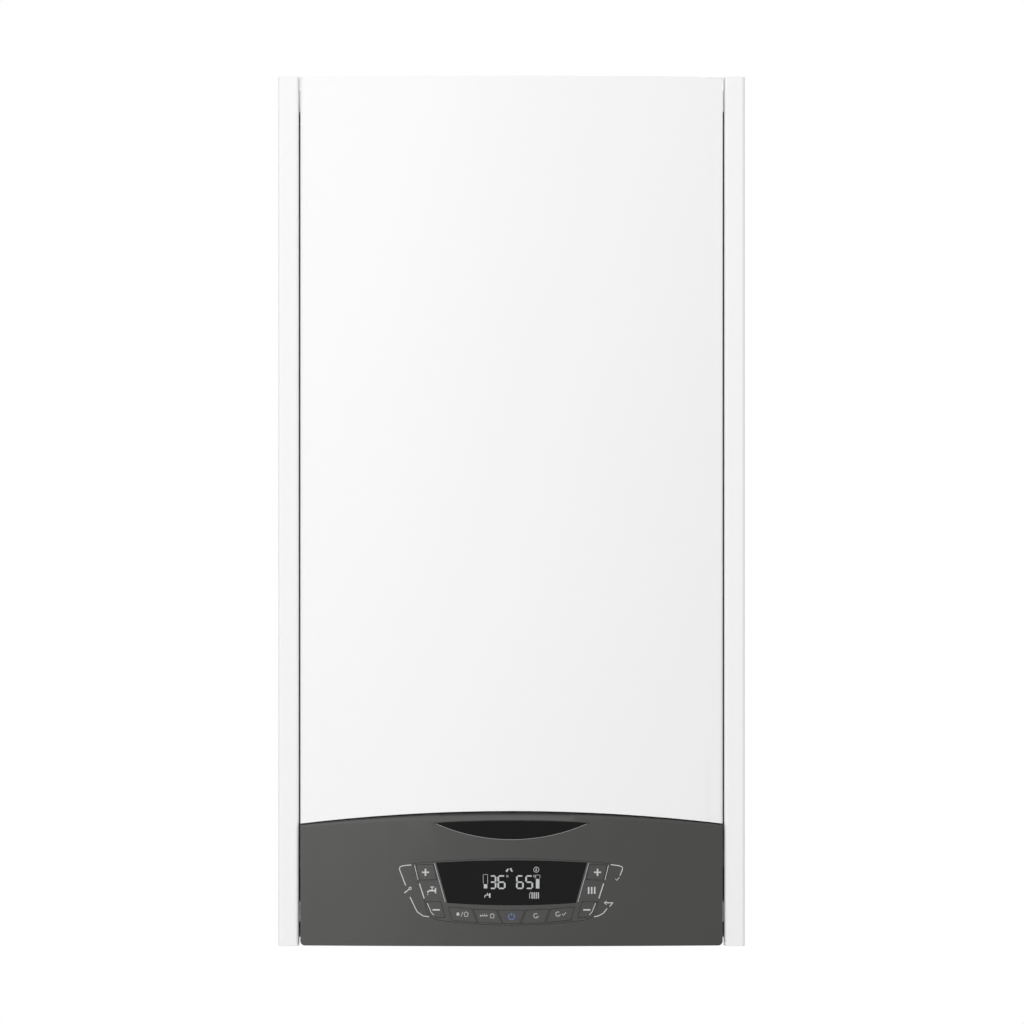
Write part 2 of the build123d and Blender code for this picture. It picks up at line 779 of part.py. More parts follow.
def fan_motor():
    z = up(fan_height)
    end = fan_front - 40
    motor = drum_y(fan_across, z, 26, fan_front - seat, fan_front - 6)
    motor += drum_y(fan_across, z, 22, fan_front - 5, end)
    motor += block((fan_across - 7, fan_across + 7), (end + 4, fan_front - 8), (z - 30, z))
    return motor - rod_y(fan_across, z, motor_bore, fan_front + 1, fan_front - 24)


switch_y = 52.0 - chamber_front
switch_height = deck_height - 75
switch_radius = 24.0


def air_pressure_switch():
    inner = chamber_half - sheet - seat

    def can(start, end, radius, sides=20, rise=0.0):
        z = up(switch_height) + rise
        return drum((inner - start, switch_y, z), (inner - end, switch_y, z), radius, sides)

    switch = can(0, 14, switch_radius) + can(13, 20, switch_radius - 7)
    for rise in (-8, 8):
        switch += can(19, 28, 2.5, 8, rise)
    return switch


# ---------------------------------------------------------------- vessel and pipes
vessel_pipe_x = 40.0
vessel_pipe_y = -53.0
vessel_boss_low = 312.0
vessel_sides = 40
vessel_shoulder = 25.0
vessel_boss = 7.0


def expansion_vessel():
    rear = frame_face - seat
    front = rear - vessel_thick

    def drawn(inset):
        body = drum_y(0, up(vessel_height), vessel_radius - inset, rear - inset, front + inset, vessel_sides)
        rims = body.edges().group_by(Axis.Y)
        return chamfer(rims[0] + rims[-1], vessel_shoulder - inset / 2)

    boss_low = (vessel_pipe_x, vessel_pipe_y, up(vessel_boss_low))
    boss_top = (vessel_pipe_x, vessel_pipe_y, up(vessel_height - vessel_radius + 12))
    body = drawn(0) + drum(boss_low, boss_top, vessel_boss, 12) - drawn(vessel_wall)
    return body - clear_z(*boss_low[:2], vessel_pipe_radius - 1, boss_low[2] - 1, boss_top[2] + 3, 8)


def straight_pipe(x, y, radius, low, high):
    return drum((x, y, up(low)), (x, y, up(high)), radius, 24)


def copper_pipes():
    left = -riser_across
    right = riser_across
    flow = straight_pipe(left, riser_y, pipe_radius, flow_port_top, riser_top)
    back = straight_pipe(right, riser_y, pipe_radius, pump_port_top, riser_top)
    gas_low = straight_pipe(0, tail_y, pipe_radius, nut_top, gas_valve_low - 8)
    gas_high = straight_pipe(0, riser_y, gas_pipe_radius, gas_valve_top + 8, 312)
    points = [
        (vessel_pipe_x, vessel_pipe_y, up(vessel_boss_low)),
        (vessel_pipe_x, vessel_pipe_y, up(285)),
        (tail_pitch, tail_y, up(250)),
        (tail_pitch, tail_y, up(group_top)),
    ]
    section = Plane(origin=points[0], z_dir=(0, 0, -1)) * RegularPolygon(vessel_pipe_radius, 12)
    bent = sweep(section, Polyline(*points), transition=Transition.RIGHT)
    return Compound([flow, back, gas_low, gas_high, bent])


thread_top = plate_low - 0.6
thread_depth = 0.8


def connection_tails():
    tails = []
    for spot, radius in zip(tail_spots, tail_radii):
        tail = rod_z(spot, tail_y, radius, up(tail_low), up(thread_top))
        shank = [(spot, tail_y, up(above)) for above in (thread_top, plate_top)]
        tail += drum(*shank, radius - thread_depth, 12)
        tail += hex_z(spot, tail_y, 2 * radius + 5, up(plate_top), up(nut_top))
        tail -= clear_z(spot, tail_y, radius - 3.2, up(tail_low - 1), up(nut_top + 1), 8)
        tails.append(tail)
    return Compound(tails)


group_top = 118.0
plate_ports = (72.0, 108.0)  # heights of the plate exchanger's ports
plate_across = 62.0
plate_rear = -138.0
barrel_big = 16.0
barrel_small = 13.0
link_height = 60.0
link_radius = 11.0
spool_bore = 9.0
spool_low = 66.0
barrel_top = 120.0
flow_port_top = 150.0
stem_radius = 2.5


def plate_arms(side):
    arms = None
    for above in plate_ports:
        ends = [(side * plate_across, y, up(above)) for y in (tail_y, plate_rear)]
        arm = bar(*ends, 20)
        arms = arm if arms is None else arms + arm
    return arms


def barrel(x, radius, top):
    return drum((x, tail_y, up(nut_top)), (x, tail_y, up(top)), radius)


def flow_group():
    big = -2 * tail_pitch
    small = -tail_pitch
    body = barrel(big, barrel_big, barrel_top) + barrel(small, barrel_small, group_top)
    for above in (link_height, plate_ports[1]):
        body += bar((big, tail_y, up(above)), (small, tail_y, up(above)), 2 * link_radius)
    body += plate_arms(-1)
    arm = up(95)
    body += bar((big, tail_y, arm), (-riser_across, riser_y, arm), 20)
    body += bar((-riser_across, riser_y, up(84)), (-riser_across, riser_y, up(flow_port_top)), 24)
    body -= drum((big, tail_y, up(spool_low)), (big, tail_y, up(barrel_top + 1)), spool_bore + 0.4, 12)
    return body


relief_axis = 60.0
relief_rear = -125.0
relief_front = -158.0
knob_bore_end = -145.3
relief_outlet_low = 28.0


def return_group():
    big = 2 * tail_pitch
    small = tail_pitch
    body = barrel(big, barrel_big, 96) + barrel(small, barrel_small, group_top)
    body += bar((small, tail_y, up(link_height)), (big, tail_y, up(link_height)), 2 * link_radius)
    body += plate_arms(1)
    body += bar((big, tail_y, up(84)), (big, riser_y, up(84)), 20)
    body += bar((big, riser_y, up(73)), (big, riser_y, up(pump_feed)), 24)
    body += bar((big, tail_y, up(relief_axis)), (big, relief_rear, up(relief_axis)), 18)
    body += bar((filling_across, tail_y, up(40)), (filling_across, tail_y, up(link_height)), 16)
    body -= rod_z(filling_across, tail_y, spindle_radius + running, up(39), up(54))
    return body


def diverter_motor():
    x = -2 * tail_pitch
    low, high = up(barrel_top), up(barrel_top + 48)
    motor = block((x - 17, x + 17), (tail_y - 17, tail_y + 17), (low + 6, high))
    motor = chamfer(motor.edges().filter_by(Axis.Z), 4)
    motor += drum((x, tail_y, low), (x, tail_y, low + 7), 15)
    motor += block((x - 9, x + 9), (tail_y - 22, tail_y - 16), (low + 12, low + 24))
    return motor - rod_z(x, tail_y, stem_radius + running, low - 1, low + 38)


def diverter_spool():
    x = -2 * tail_pitch
    round_low = up(barrel_top - 12)
    stem = rod_z(x, tail_y, stem_radius, round_low, up(barrel_top + 26))
    stem += drum((x, tail_y, up(spool_low + seat)), (x, tail_y, round_low), stem_radius, 8)
    for low in (spool_low + 4, spool_low + 34):
        stem += clear_z(x, tail_y, spool_bore - 0.7, up(low), up(low + 6))
    return stem


def relief_valve():
    z = up(relief_axis)
    x = relief_across
    valve = drum_y(x, z, 12, relief_rear, relief_front + 5, 12)
    valve += hex_y(x, z, 20, relief_front + 5, relief_front)
    valve += bar((x, relief_y, up(relief_outlet_low)), (x, relief_y, z), 2 * (relief_bore + relief_wall))
    valve -= rod_z(x, relief_y, relief_bore, up(relief_outlet_low - 1), z - 6)
    return valve - rod_y(x, z, shaft_radius + running, knob_bore_end, relief_front - 1)


def relief_knob():
    z = up(relief_axis)
    x = relief_across
    face = relief_front - seat
    knob = drum_y(x, z, 12, face, face - 17)
    for index in range(8):
        turn = index * 45
        rib = Rot(0, turn, 0) * Pos(12.5, 0, 0) * Box(3, 15, 4)
        knob += Pos(x, face - 9, z) * rib
    return knob + rod_y(x, z, shaft_radius, knob_bore_end - seat, face)


def filling_knob():
    x = filling_across
    knob = drum((x, tail_y, up(8)), (x, tail_y, up(26)), 9.5, 12)
    for index in range(6):
        knob += Pos(x, tail_y, up(16)) * Rot(0, 0, index * 60) * Pos(9.5, 0, 0) * Box(4, 4, 14)
    return knob + rod_z(x, tail_y, spindle_radius, up(26), up(53))


# ---------------------------------------------------------------- pump
pump_rear = -96.0
pump_face = -136.0
pump_feed = 112.0
pump_port_top = 240.0
vent_across = 88.0
pump_motor_front = -186.0
vent_low = 214.0             # bottle of the automatic air vent
vent_top = 232.0


def pump_body():
    z = up(pump_height)
    body = drum_y(pump_across, z, pump_radius, pump_rear, pump_face, 32)
    body += bar((relief_across, riser_y, up(pump_feed)), (relief_across, riser_y, z), 22)
    body += bar((riser_across, riser_y, z), (riser_across, riser_y, up(pump_port_top)), 22)
    body += bar((vent_across, riser_y, z), (vent_across, riser_y, up(vent_low)), 16)
    body += bar((vent_across, riser_y, up(vent_low)), (vent_across, riser_y, up(vent_top)), 24)
    body += bar((vent_across, riser_y, up(vent_top - 1)), (vent_across, riser_y, up(vent_top + 6)), 9)
    body -= drum_y(pump_across, z, 30, pump_rear - 8, pump_face + 6, 24)
    return body - drum_y(pump_across, z, 9, pump_face + 7, pump_face - 1)


def pump_impeller():
    z = up(pump_height)
    wheel = drum_y(pump_across, z, 26, pump_face + 12, pump_face + 9, 21)
    wheel += rod_y(pump_across, z, shaft_radius, pump_face + 22, pump_face - 22)
    wheel += drum_y(pump_across, z, 7, pump_face + 22, pump_face + 11, 7)
    for index in range(7):
        vane = Rot(0, index * 360 / 7, 0) * Pos(16, 0, 0) * Rot(0, 30, 0) * Box(16, 9, 1.6)
        wheel += Pos(pump_across, pump_face + 16, z) * vane
    return wheel


def pump_motor():
    z = up(pump_height)
    motor = drum_y(pump_across, z, 38, pump_face, pump_motor_front + 6, 24)
    motor += drum_y(pump_across, z, 33, pump_motor_front + 7, pump_motor_front, 24)
    motor += block((pump_across - 22, pump_across + 22), (-180, pump_face - 4), (z + 28, z + 50))
    motor += hex_y(pump_across, z, 14, pump_motor_front + 1, pump_motor_front - 3)
    return motor - rod_y(pump_across, z, motor_bore, pump_face + 1, pump_face - 24)


# ---------------------------------------------------------------- plate exchanger and gas valve
plate_count = 12
plate_pitch = 4.0
plate_length = 168.0
plate_height = 76.0
exchanger_plates_low = 52.0


def plate_heat_exchanger():
    middle = up(exchanger_plates_low + plate_height / 2)
    stack = None
    for index in range(plate_count):
        inset = 1.2 if index % 2 else 0.0
        outline = Rectangle(plate_length - 2 * inset, plate_height - 2 * inset)
        outline = chamfer(outline.vertices(), 12 - inset)
        back = plate_rear - index * plate_pitch
        plate = punch(Pos(0, middle) * outline, back, back - plate_pitch)
        stack = plate if stack is None else stack + plate
    return stack


gas_valve_low = 170.0
gas_valve_top = 232.0
solenoid_height = 206.0


def gas_valve():
    low, high = up(gas_valve_low), up(gas_valve_top)
    body = block((-30, 30), (-128, -48), (low, high))
    body = chamfer(body.edges().filter_by(Axis.Y), 6)
    for y, ends in ((tail_y, (low - 8, low + 1)), (riser_y, (high - 1, high + 8))):
        flange = Rectangle(36, 32)
        flange = chamfer(flange.vertices(), 8)
        body += Pos(0, y, ends[0]) * extrude(flange, ends[1] - ends[0])
    for x in (-15, 15):
        body += bar((x, -127, up(solenoid_height)), (x, -156, up(solenoid_height)), 22)
        body += hex_y(x, up(solenoid_height), 9, -155, -160)
    body += block((-24, 24), (-150, -127), (low + 3, low + 20))
    body += hex_z(-18, -88, 10, high - 1, high + 5)
    return body


# ---------------------------------------------------------------- control box and front controls
box_side = panel_half - fascia_wall - seat
box_floor = fascia_base + fascia_wall + seat
box_height = 94.0
box_mouth = 21.0 - depth
box_behind = 16.0            # air between the box and the plate exchanger
box_back = plate_rear - plate_count * plate_pitch - box_behind
box_wall = 2.0
trunnion_end = 1.5           # past the ears of the lower frame
board_half = 150.0
board_low = 15.0
board_top = 86.0
board_posts = [(x, above) for x in (-88.0, 88.0) for above in (22.0, 78.0)]
post_half = 4.0
vent_spots = (-120.0, -60.0, 0.0, 60.0)
main_board_rear = box_back - 4.4
gland_spots = (110.0, 130.0, 150.0)
gland_height = 18.0
gland_flats = 13.0
gland_bore = 4.5
mains_spot = gland_spots[-1]


def control_box():
    tray = block((-box_side, box_side), (box_mouth, box_back), (up(box_floor), up(box_height)))
    inner = box_side - box_wall
    tray = chamfer(tray.edges().filter_by(Axis.Y).group_by(Axis.Z)[0], 2)
    hollow = (up(box_floor + box_wall), up(box_height - box_wall))
    tray -= block((-inner, inner), (box_mouth - 1, box_back - box_wall), hollow)
    reach = frame_half + ear_gap + ear_thick + trunnion_end
    for side in (-1, 1):
        ends = sorted((side * (box_side - 1), side * reach))
        tray += rod_x(hinge_y, up(hinge_height), trunnion_radius, *ends)
        collar = [(side * x, hinge_y, up(hinge_height)) for x in (box_side - 1, frame_half - 1)]
        tray += bar(*collar, 2 * trunnion_radius + 5)
    for spot in gland_spots:
        tray -= hex_y(spot, up(gland_height), gland_flats + 0.4, box_back + 1, box_back - box_wall - 1)
    for x, above in board_posts:
        upward = (up(above - post_half), up(above + post_half))
        tray += block((x - post_half, x + post_half), (main_board_rear + seat, box_back - 1), upward)
    for x in vent_spots:
        tray += block((x - 22, x + 22), (box_back - 0.5, box_back + 3.5), (up(40), up(78)))
    return tray


board_parts = (              # middle, width, depth and heights: transformer, relays, chip, heat sink, strip
    (-120, 34, 26, 30, 66), (-78, 16, 14, 24, 40), (-58, 16, 14, 24, 40), (-38, 16, 14, 24, 40),
    (0, 28, 4, 40, 66), (60, 40, 18, 50, 74), (112, 52, 10, 20, 30),
)
capacitor_spots = (-85.0, -65.0, 30.0)


def main_board():
    front = main_board_rear - board_thick
    board = block((-board_half, board_half), (front, main_board_rear), (up(board_low), up(board_top)))
    for x, wide, deep, low, high in board_parts:
        board += block((x - wide / 2, x + wide / 2), (front - deep, front + 0.5), (up(low), up(high)))
    for x in capacitor_spots:
        board += bar((x, front + 0.5, up(70)), (x, front - 22, up(70)), 12, 12)
    return board


def cable_glands():
    glands = []
    for spot in gland_spots:
        z = up(gland_height)
        gland = hex_y(spot, z, gland_flats + 4, box_back + 6, box_back)
        gland += hex_y(spot, z, gland_flats, box_back, box_back - 4)
        if spot == mains_spot:
            gland -= rod_y(spot, z, gland_bore, box_back + 7, box_back - 5)
        else:
            gland -= drum_y(spot, z, gland_bore, box_back + 7, box_back - 5, 12)
        glands.append(gland)
    return Compound(glands)


def fascia_form(inset, brow, back):
    low = fascia_base + inset
    half = panel_half - inset
    edge = arch_edge - arch_gap - brow
    crown = edge + arch_rise
    form = Pos(0, 0, up(low)) * extrude(bow_plan(half, back, inset), crown + 5 - low)
    corners = form.edges().filter_by(Axis.Y).group_by(Axis.Z)[0]
    form = fillet(corners, 3.0 if inset else 4.0)
    return form - punch(over_arch(half, edge, crown, crown + 9), back + 3, -depth - 2)


def bevel_cut():
    """All in front of the sloped crescent under the front panel's edge."""
    slope = tan(radians(bevel_slope))
    side = bevel_side - panel_bow * slope
    face = over_arch(panel_half, side, bevel_centre, bevel_centre + 30)
    direction = (0, cos(radians(bevel_slope)), sin(radians(bevel_slope)))
    return extrude(Plane.XZ.offset(depth) * face, 70, dir=direction)


badge_half = 65.0
badge_sink = 1.2


def badge_face(margin=0.0):
    end = (badge_half + 2 * margin, up(105.9))
    top = ThreePointArc((-end[0], end[1]), (0, up(107.6) + margin), end)
    low = ThreePointArc((-end[0], end[1]), (0, up(92.2) - margin), end)
    return closed(top, low)


def bowl_face(margin=0.0):
    corner_x = 84.8 + margin
    corner_z = up(71.2) + margin
    top = ThreePointArc((-corner_x, corner_z), (0, up(75.6) + margin), (corner_x, corner_z))
    turn_x, turn_z = 73.5 + margin, up(36) - margin / 2
    foot_x, foot_z = 62.0 + margin / 2, up(22.6) - margin
    bottom = ThreePointArc((-foot_x, foot_z), (0, up(18.4) - margin), (foot_x, foot_z))
    rest = []
    for side in (-1, 1):
        rest.append(Line((side * corner_x, corner_z), (side * turn_x, turn_z)))
        middle = (side * (69.9 + margin * 0.8), up(26.4) - margin * 0.7)
        rest.append(ThreePointArc((side * turn_x, turn_z), middle, (side * foot_x, foot_z)))
    return closed(top, bottom, *rest)


def window_face(margin=0.0):
    top_x, top_z = 64.5 + margin, up(72) + margin
    low_x, low_z = 55.0 + margin, up(37.5) - margin
    top = ThreePointArc((-top_x, top_z), (0, up(74) + margin), (top_x, top_z))
    low = ThreePointArc((-low_x, low_z), (0, up(35.5) - margin), (low_x, low_z))
    sides = [Line((side * top_x, top_z), (side * low_x, low_z)) for side in (-1, 1)]
    return closed(top, low, *sides)


def plus_face(margin=0.0):
    points = [(-81.8, 69.8), (-66.9, 70.3), (-64.2, 57.6), (-78.6, 57.0)]
    return key_outline(points, margin)


def minus_face(margin=0.0):
    points = [(-73.2, 38.4), (-60.6, 38.4), (-57.0, 25.2), (-64.5, 25.2), (-69.6, 29.0)]
    return key_outline(points, margin)


def key_outline(points, margin):
    face = closed(Polyline(*[(x, up(above)) for x, above in points], close=True))
    return offset(face, margin, kind=Kind.INTERSECTION) if margin else face


row_tops = (-54.4, -33.0, -12.3, 12.3, 33.0, 54.4)
row_feet = (-51.4, -29.0, -7.6, 7.6, 29.0, 51.4)
row_gap = 1.5


def row_face(place, margin=0.0):
    top_rise = [31 + 3 * (x / row_tops[-1]) ** 2 for x in row_tops]
    foot_rise = [20 + 3 * (x / row_feet[-1]) ** 2 for x in row_feet]
    trim = row_gap / 2
    points = [
        (row_tops[place] + trim, top_rise[place]),
        (row_tops[place + 1] - trim, top_rise[place + 1]),
        (row_feet[place + 1] - trim, foot_rise[place + 1]),
        (row_feet[place] + trim, foot_rise[place]),
    ]
    return key_outline(points, margin)


def flipped(face):
    return mirror(face, about=Plane.YZ)


key_faces = {
    "button_hot_water_plus": lambda margin=0.0: plus_face(margin),
    "button_hot_water_minus": lambda margin=0.0: minus_face(margin),
    "button_heating_plus": lambda margin=0.0: flipped(plus_face(margin)),
    "button_heating_minus": lambda margin=0.0: flipped(minus_face(margin)),
    "button_mode": lambda margin=0.0: row_face(0, margin),
    "button_comfort": lambda margin=0.0: row_face(1, margin),
    "button_power": lambda margin=0.0: row_face(2, margin),
    "button_auto": lambda margin=0.0: row_face(3, margin),
    "button_reset": lambda margin=0.0: row_face(4, margin),
}
key_centres = {
    "button_hot_water_plus": (-72.9, 63.6),
    "button_hot_water_minus": (-65.0, 32.0),
    "button_heating_plus": (72.9, 63.6),
    "button_heating_minus": (65.0, 32.0),
    "button_mode": (-41.9, 27.5),
    "button_comfort": (-20.4, 26.0),
    "button_power": (0.0, 25.5),
    "button_auto": (20.4, 26.0),
    "button_reset": (41.9, 27.5),
}


def fascia():
    back = panel_rim - 3.8
    shell = fascia_form(0, 0, back) - fascia_form(fascia_wall, fascia_brow, back + 2)
    shell -= bevel_cut()
    shell -= bowed(badge_face(0.8), -1, badge_sink + 0.3)
    return shell - bowed(bowl_face(), -1, fascia_wall + 1)


def badge():
    return bowed(badge_face(), 0.2, badge_sink)


bezel_back = bezel_sink + bezel_thick
post_across = 68.0
post_height = 48.0


def keypad_bezel():
    rim = fascia_wall + seat
    bezel = bowed(bowl_face(-key_play), bezel_sink, bezel_back)
    bezel += bowed(bowl_face(3.0), rim, bezel_back)
    bezel -= bowed(window_face(), -1, 2.2)
    bezel -= bowed(window_face(-2.0), 2, bezel_back + 1)
    for name in key_faces:
        bezel -= bowed(key_faces[name](key_play), -1, bezel_back + 1)
    for side in (-1, 1):
        x = side * post_across
        bezel += hex_y(x, up(post_height), 4.4, -board_front - seat, bow_y(x, bezel_back) - 1)
    return bezel


def display_lens():
    return bowed(window_face(-0.25), 0.5, 2.2)


def lcd_module():
    return block((-48, 48), (lcd_clear - depth, -board_front), (up(38.5), up(71)))


def ui_board():
    front = -board_front
    board = block((-79, 79), (front, front + board_thick), (up(22), up(73)))
    for name, (x, above) in key_centres.items():
        board += block((x - 3, x + 3), (front - 3.5, front + 0.2), (up(above - 3), up(above + 3)))
        board += block((x - 1.5, x + 1.5), (front - 4.5, front - 3), (up(above - 1.5), up(above + 1.5)))
    return board


def button(name):
    x, above = key_centres[name]
    cap = bowed(key_faces[name](), -key_proud, bezel_back + seat + 1)
    flange = bowed(key_faces[name](0.45), bezel_back + seat, bezel_back + seat + 1)
    stem_end = -board_front - 4.5 - key_travel - seat
    root = bow_y(x, bezel_back + seat + 0.5)
    stem = block((x - 1.6, x + 1.6), (root, stem_end), (up(above - 1.6), up(above + 1.6)))
    return cap + flange + stem


# ---------------------------------------------------------------- the nodes
sub_parts = {
    "wall_bracket": wall_bracket,
    "rear_frame": rear_frame,
    "lower_frame": lower_frame,
    "side_panel_left": side_panel_left,
    "side_panel_right": lambda: mirrored(side_panel_left()),
    "top_panel": top_panel,
    "flue_spigot": flue_spigot,
    "seals": seals,
    "air_inlet_covers": air_inlet_covers,
    "front_rail": front_rail,
    "casing_screws": casing_screws,
    "front_panel": front_panel,
    "chamber_housing": chamber_housing,
    "chamber_cover": chamber_cover,
    "chamber_clips": chamber_clips,
    "sight_glass": sight_glass,
    "combustion_box": combustion_box,
    "insulation_boards": insulation_boards,
    "burner": burner,
    "gas_manifold": gas_manifold,
    "electrodes": electrodes,
    "heat_exchanger": heat_exchanger,
    "flue_hood": flue_hood,
    "fan_housing": fan_housing,
    "fan_impeller": fan_impeller,
    "fan_motor": fan_motor,
    "air_pressure_switch": air_pressure_switch,
    "expansion_vessel": expansion_vessel,
    "copper_pipes": copper_pipes,
    "connection_tails": connection_tails,
    "flow_group": flow_group,
    "return_group": return_group,
    "diverter_motor": diverter_motor,
    "diverter_spool": diverter_spool,
    "relief_valve": relief_valve,
    "relief_knob": relief_knob,
    "filling_knob": filling_knob,
    "pump_body": pump_body,
    "pump_impeller": pump_impeller,
    "pump_motor": pump_motor,
    "plate_heat_exchanger": plate_heat_exchanger,
    "gas_valve": gas_valve,
    "fascia": fascia,
    "badge": badge,
    "keypad_bezel": keypad_bezel,
    "display_lens": display_lens,
    "lcd_module": lcd_module,
    "ui_board": ui_board,
    "control_box": control_box,
    "main_board": main_board,
    "cable_glands": cable_glands,
}
for key in key_faces:
    sub_parts[key] = lambda name=key: button(name)

os.makedirs("parts", exist_ok=True)
for node, make in sub_parts.items():
    export_step(make(), f"parts/{node}.step")
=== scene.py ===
import json
import math

import bpy
from mathutils import Matrix, Vector


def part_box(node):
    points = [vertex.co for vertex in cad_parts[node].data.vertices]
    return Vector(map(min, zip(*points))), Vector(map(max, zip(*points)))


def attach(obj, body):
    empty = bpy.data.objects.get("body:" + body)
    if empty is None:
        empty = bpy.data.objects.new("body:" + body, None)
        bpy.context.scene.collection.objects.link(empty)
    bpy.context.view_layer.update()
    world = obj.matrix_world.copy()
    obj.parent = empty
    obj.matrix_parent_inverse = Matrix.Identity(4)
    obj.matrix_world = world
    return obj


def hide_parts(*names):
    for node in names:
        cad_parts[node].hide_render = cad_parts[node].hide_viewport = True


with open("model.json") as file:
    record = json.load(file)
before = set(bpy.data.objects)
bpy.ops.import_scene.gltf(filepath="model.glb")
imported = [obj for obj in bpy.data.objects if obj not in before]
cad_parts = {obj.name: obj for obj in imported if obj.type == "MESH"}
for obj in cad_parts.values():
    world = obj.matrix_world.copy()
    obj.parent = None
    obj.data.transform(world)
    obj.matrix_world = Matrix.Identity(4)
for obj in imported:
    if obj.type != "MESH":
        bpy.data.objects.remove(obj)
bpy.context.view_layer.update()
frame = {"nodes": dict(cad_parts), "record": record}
print("frame loaded")

record = frame["record"]
bodyOf = {node: body for body, nodes in record["behaviour"]["bodies"].items() for node in nodes}
slotOf = {part["node"]: part["material_slot"] for part in record["subparts"]}
millimetre = 0.001


def mm(value):
    return value * millimetre


def clearSelection():
    for thing in bpy.context.selected_objects:
        thing.select_set(False)


def pickOnly(thing):
    clearSelection()
    thing.select_set(True)
    bpy.context.view_layer.objects.active = thing


def editAll(thing):  # edit mode with the whole mesh selected
    pickOnly(thing)
    bpy.ops.object.mode_set(mode="EDIT")
    bpy.ops.mesh.select_mode(type="VERT")
    bpy.ops.mesh.select_all(action="SELECT")


def leaveEdit():
    bpy.ops.object.mode_set(mode="OBJECT")


def addModifier(thing, kind, **settings):
    modifier = thing.modifiers.new(kind.title(), kind)
    for name, value in settings.items():
        setattr(modifier, name, value)
    pickOnly(thing)
    bpy.ops.object.modifier_apply(modifier=modifier.name)


def smooth(thing, degrees):
    pickOnly(thing)
    bpy.ops.object.shade_smooth_by_angle(angle=math.radians(degrees))


bumpHeights = {"grainSkin": 0.2, "castSkin": 0.6, "spangleSkin": 0.2, "drawnSkin": 0.2}  # mm at full depth
weld = {"node": 0.002, "ring": 0.001}  # mm within which doubled points are merged


def newSkin(name, extraInputs=()):
    tree = bpy.data.node_groups.new(name, "ShaderNodeTree")
    sockets = [("Position", "Vector", None), ("Grain Size", "Float", 0.001), ("Grain Depth", "Float", 0.2)]
    sockets += [("Patch Size", "Float", 0.1), ("Low Gloss", "Float", 0.5), ("High Gloss", "Float", 0.4)]
    for label, kind, value in (*sockets, *extraInputs):
        socket = tree.interface.new_socket(label, in_out="INPUT", socket_type="NodeSocket" + kind)
        if value is not None:
            socket.default_value = value
    for label, kind in (("Mask", "Float"), ("Roughness", "Float"), ("Normal", "Vector")):
        tree.interface.new_socket(label, in_out="OUTPUT", socket_type="NodeSocket" + kind)
    return tree, tree.nodes.new("NodeGroupInput"), tree.nodes.new("NodeGroupOutput")


def addNode(tree, kind, settings=None, **inputs):
    node = tree.nodes.new("ShaderNode" + kind)
    for name, value in (settings or {}).items():
        setattr(node, name, value)
    for name, value in inputs.items():
        socket = node.inputs[int(name[1:])] if name[0] == "i" and name[1:].isdigit() else node.inputs[name]
        if isinstance(value, bpy.types.NodeSocket):
            tree.links.new(value, socket)
        else:
            socket.default_value = value
    return node


def scaleOf(tree, size):  # noise scale for a feature size in metres
    return addNode(tree, "Math", {"operation": "DIVIDE"}, i0=1.0, i1=size).outputs[0]


def addNoise(tree, place, size, detail):
    noise = addNode(tree, "TexNoise", Vector=place, Detail=detail, Scale=scaleOf(tree, size))
    return noise.outputs["Fac"]


def seenPlainly(tree):  # 1 where the camera, a gloss or a glass looks at it, 0 where it only gives light
    path = addNode(tree, "LightPath")
    seen = path.outputs["Is Camera Ray"]
    for ray in ("Is Glossy Ray", "Is Transmission Ray"):
        seen = addNode(tree, "Math", {"operation": "MAXIMUM"}, i0=seen, i1=path.outputs[ray]).outputs[0]
    return seen


def finishSkin(tree, given, out, height, mask):
    bump = addNode(tree, "Bump", Height=height, Strength=given.outputs["Grain Depth"])
    bump.inputs["Distance"].default_value = mm(bumpHeights[tree.name])
    gloss = addNode(tree, "Mix", {"data_type": "FLOAT"}, i0=mask)
    tree.links.new(given.outputs["Low Gloss"], gloss.inputs[2])
    tree.links.new(given.outputs["High Gloss"], gloss.inputs[3])
    tree.links.new(mask, out.inputs["Mask"])
    tree.links.new(gloss.outputs[0], out.inputs["Roughness"])
    tree.links.new(bump.outputs["Normal"], out.inputs["Normal"])


def makeGrainSkin():  # orange peel of a powder coat, or the fine grain of moulded plastic
    tree, given, out = newSkin("grainSkin")
    place = given.outputs["Position"]
    fine = addNoise(tree, place, given.outputs["Grain Size"], detail=2.0)
    patch = addNoise(tree, place, given.outputs["Patch Size"], detail=3.0)
    finishSkin(tree, given, out, fine, patch)


def makeCastSkin():  # pitted skin of sand-cast or die-cast metal
    tree, given, out = newSkin("castSkin")
    place = given.outputs["Position"]
    scale = scaleOf(tree, given.outputs["Grain Size"])
    pits = addNode(tree, "TexVoronoi", {"feature": "SMOOTH_F1"}, Vector=place, Scale=scale)
    lumps = addNoise(tree, place, given.outputs["Grain Size"], detail=6.0)
    height = addNode(tree, "Math", {"operation": "MULTIPLY"}, i0=pits.outputs["Distance"], i1=lumps)
    patch = addNoise(tree, place, given.outputs["Patch Size"], detail=5.0)
    finishSkin(tree, given, out, height.outputs[0], patch)


def makeSpangleSkin():  # zinc crystals of galvanised sheet
    tree, given, out = newSkin("spangleSkin")
    place = given.outputs["Position"]
    cells = addNode(tree, "TexVoronoi", Vector=place, Scale=scaleOf(tree, given.outputs["Patch Size"]))
    shade = addNode(tree, "SeparateColor", Color=cells.outputs["Color"])
    fine = addNoise(tree, place, given.outputs["Grain Size"], detail=4.0)
    finishSkin(tree, given, out, fine, shade.outputs["Red"])


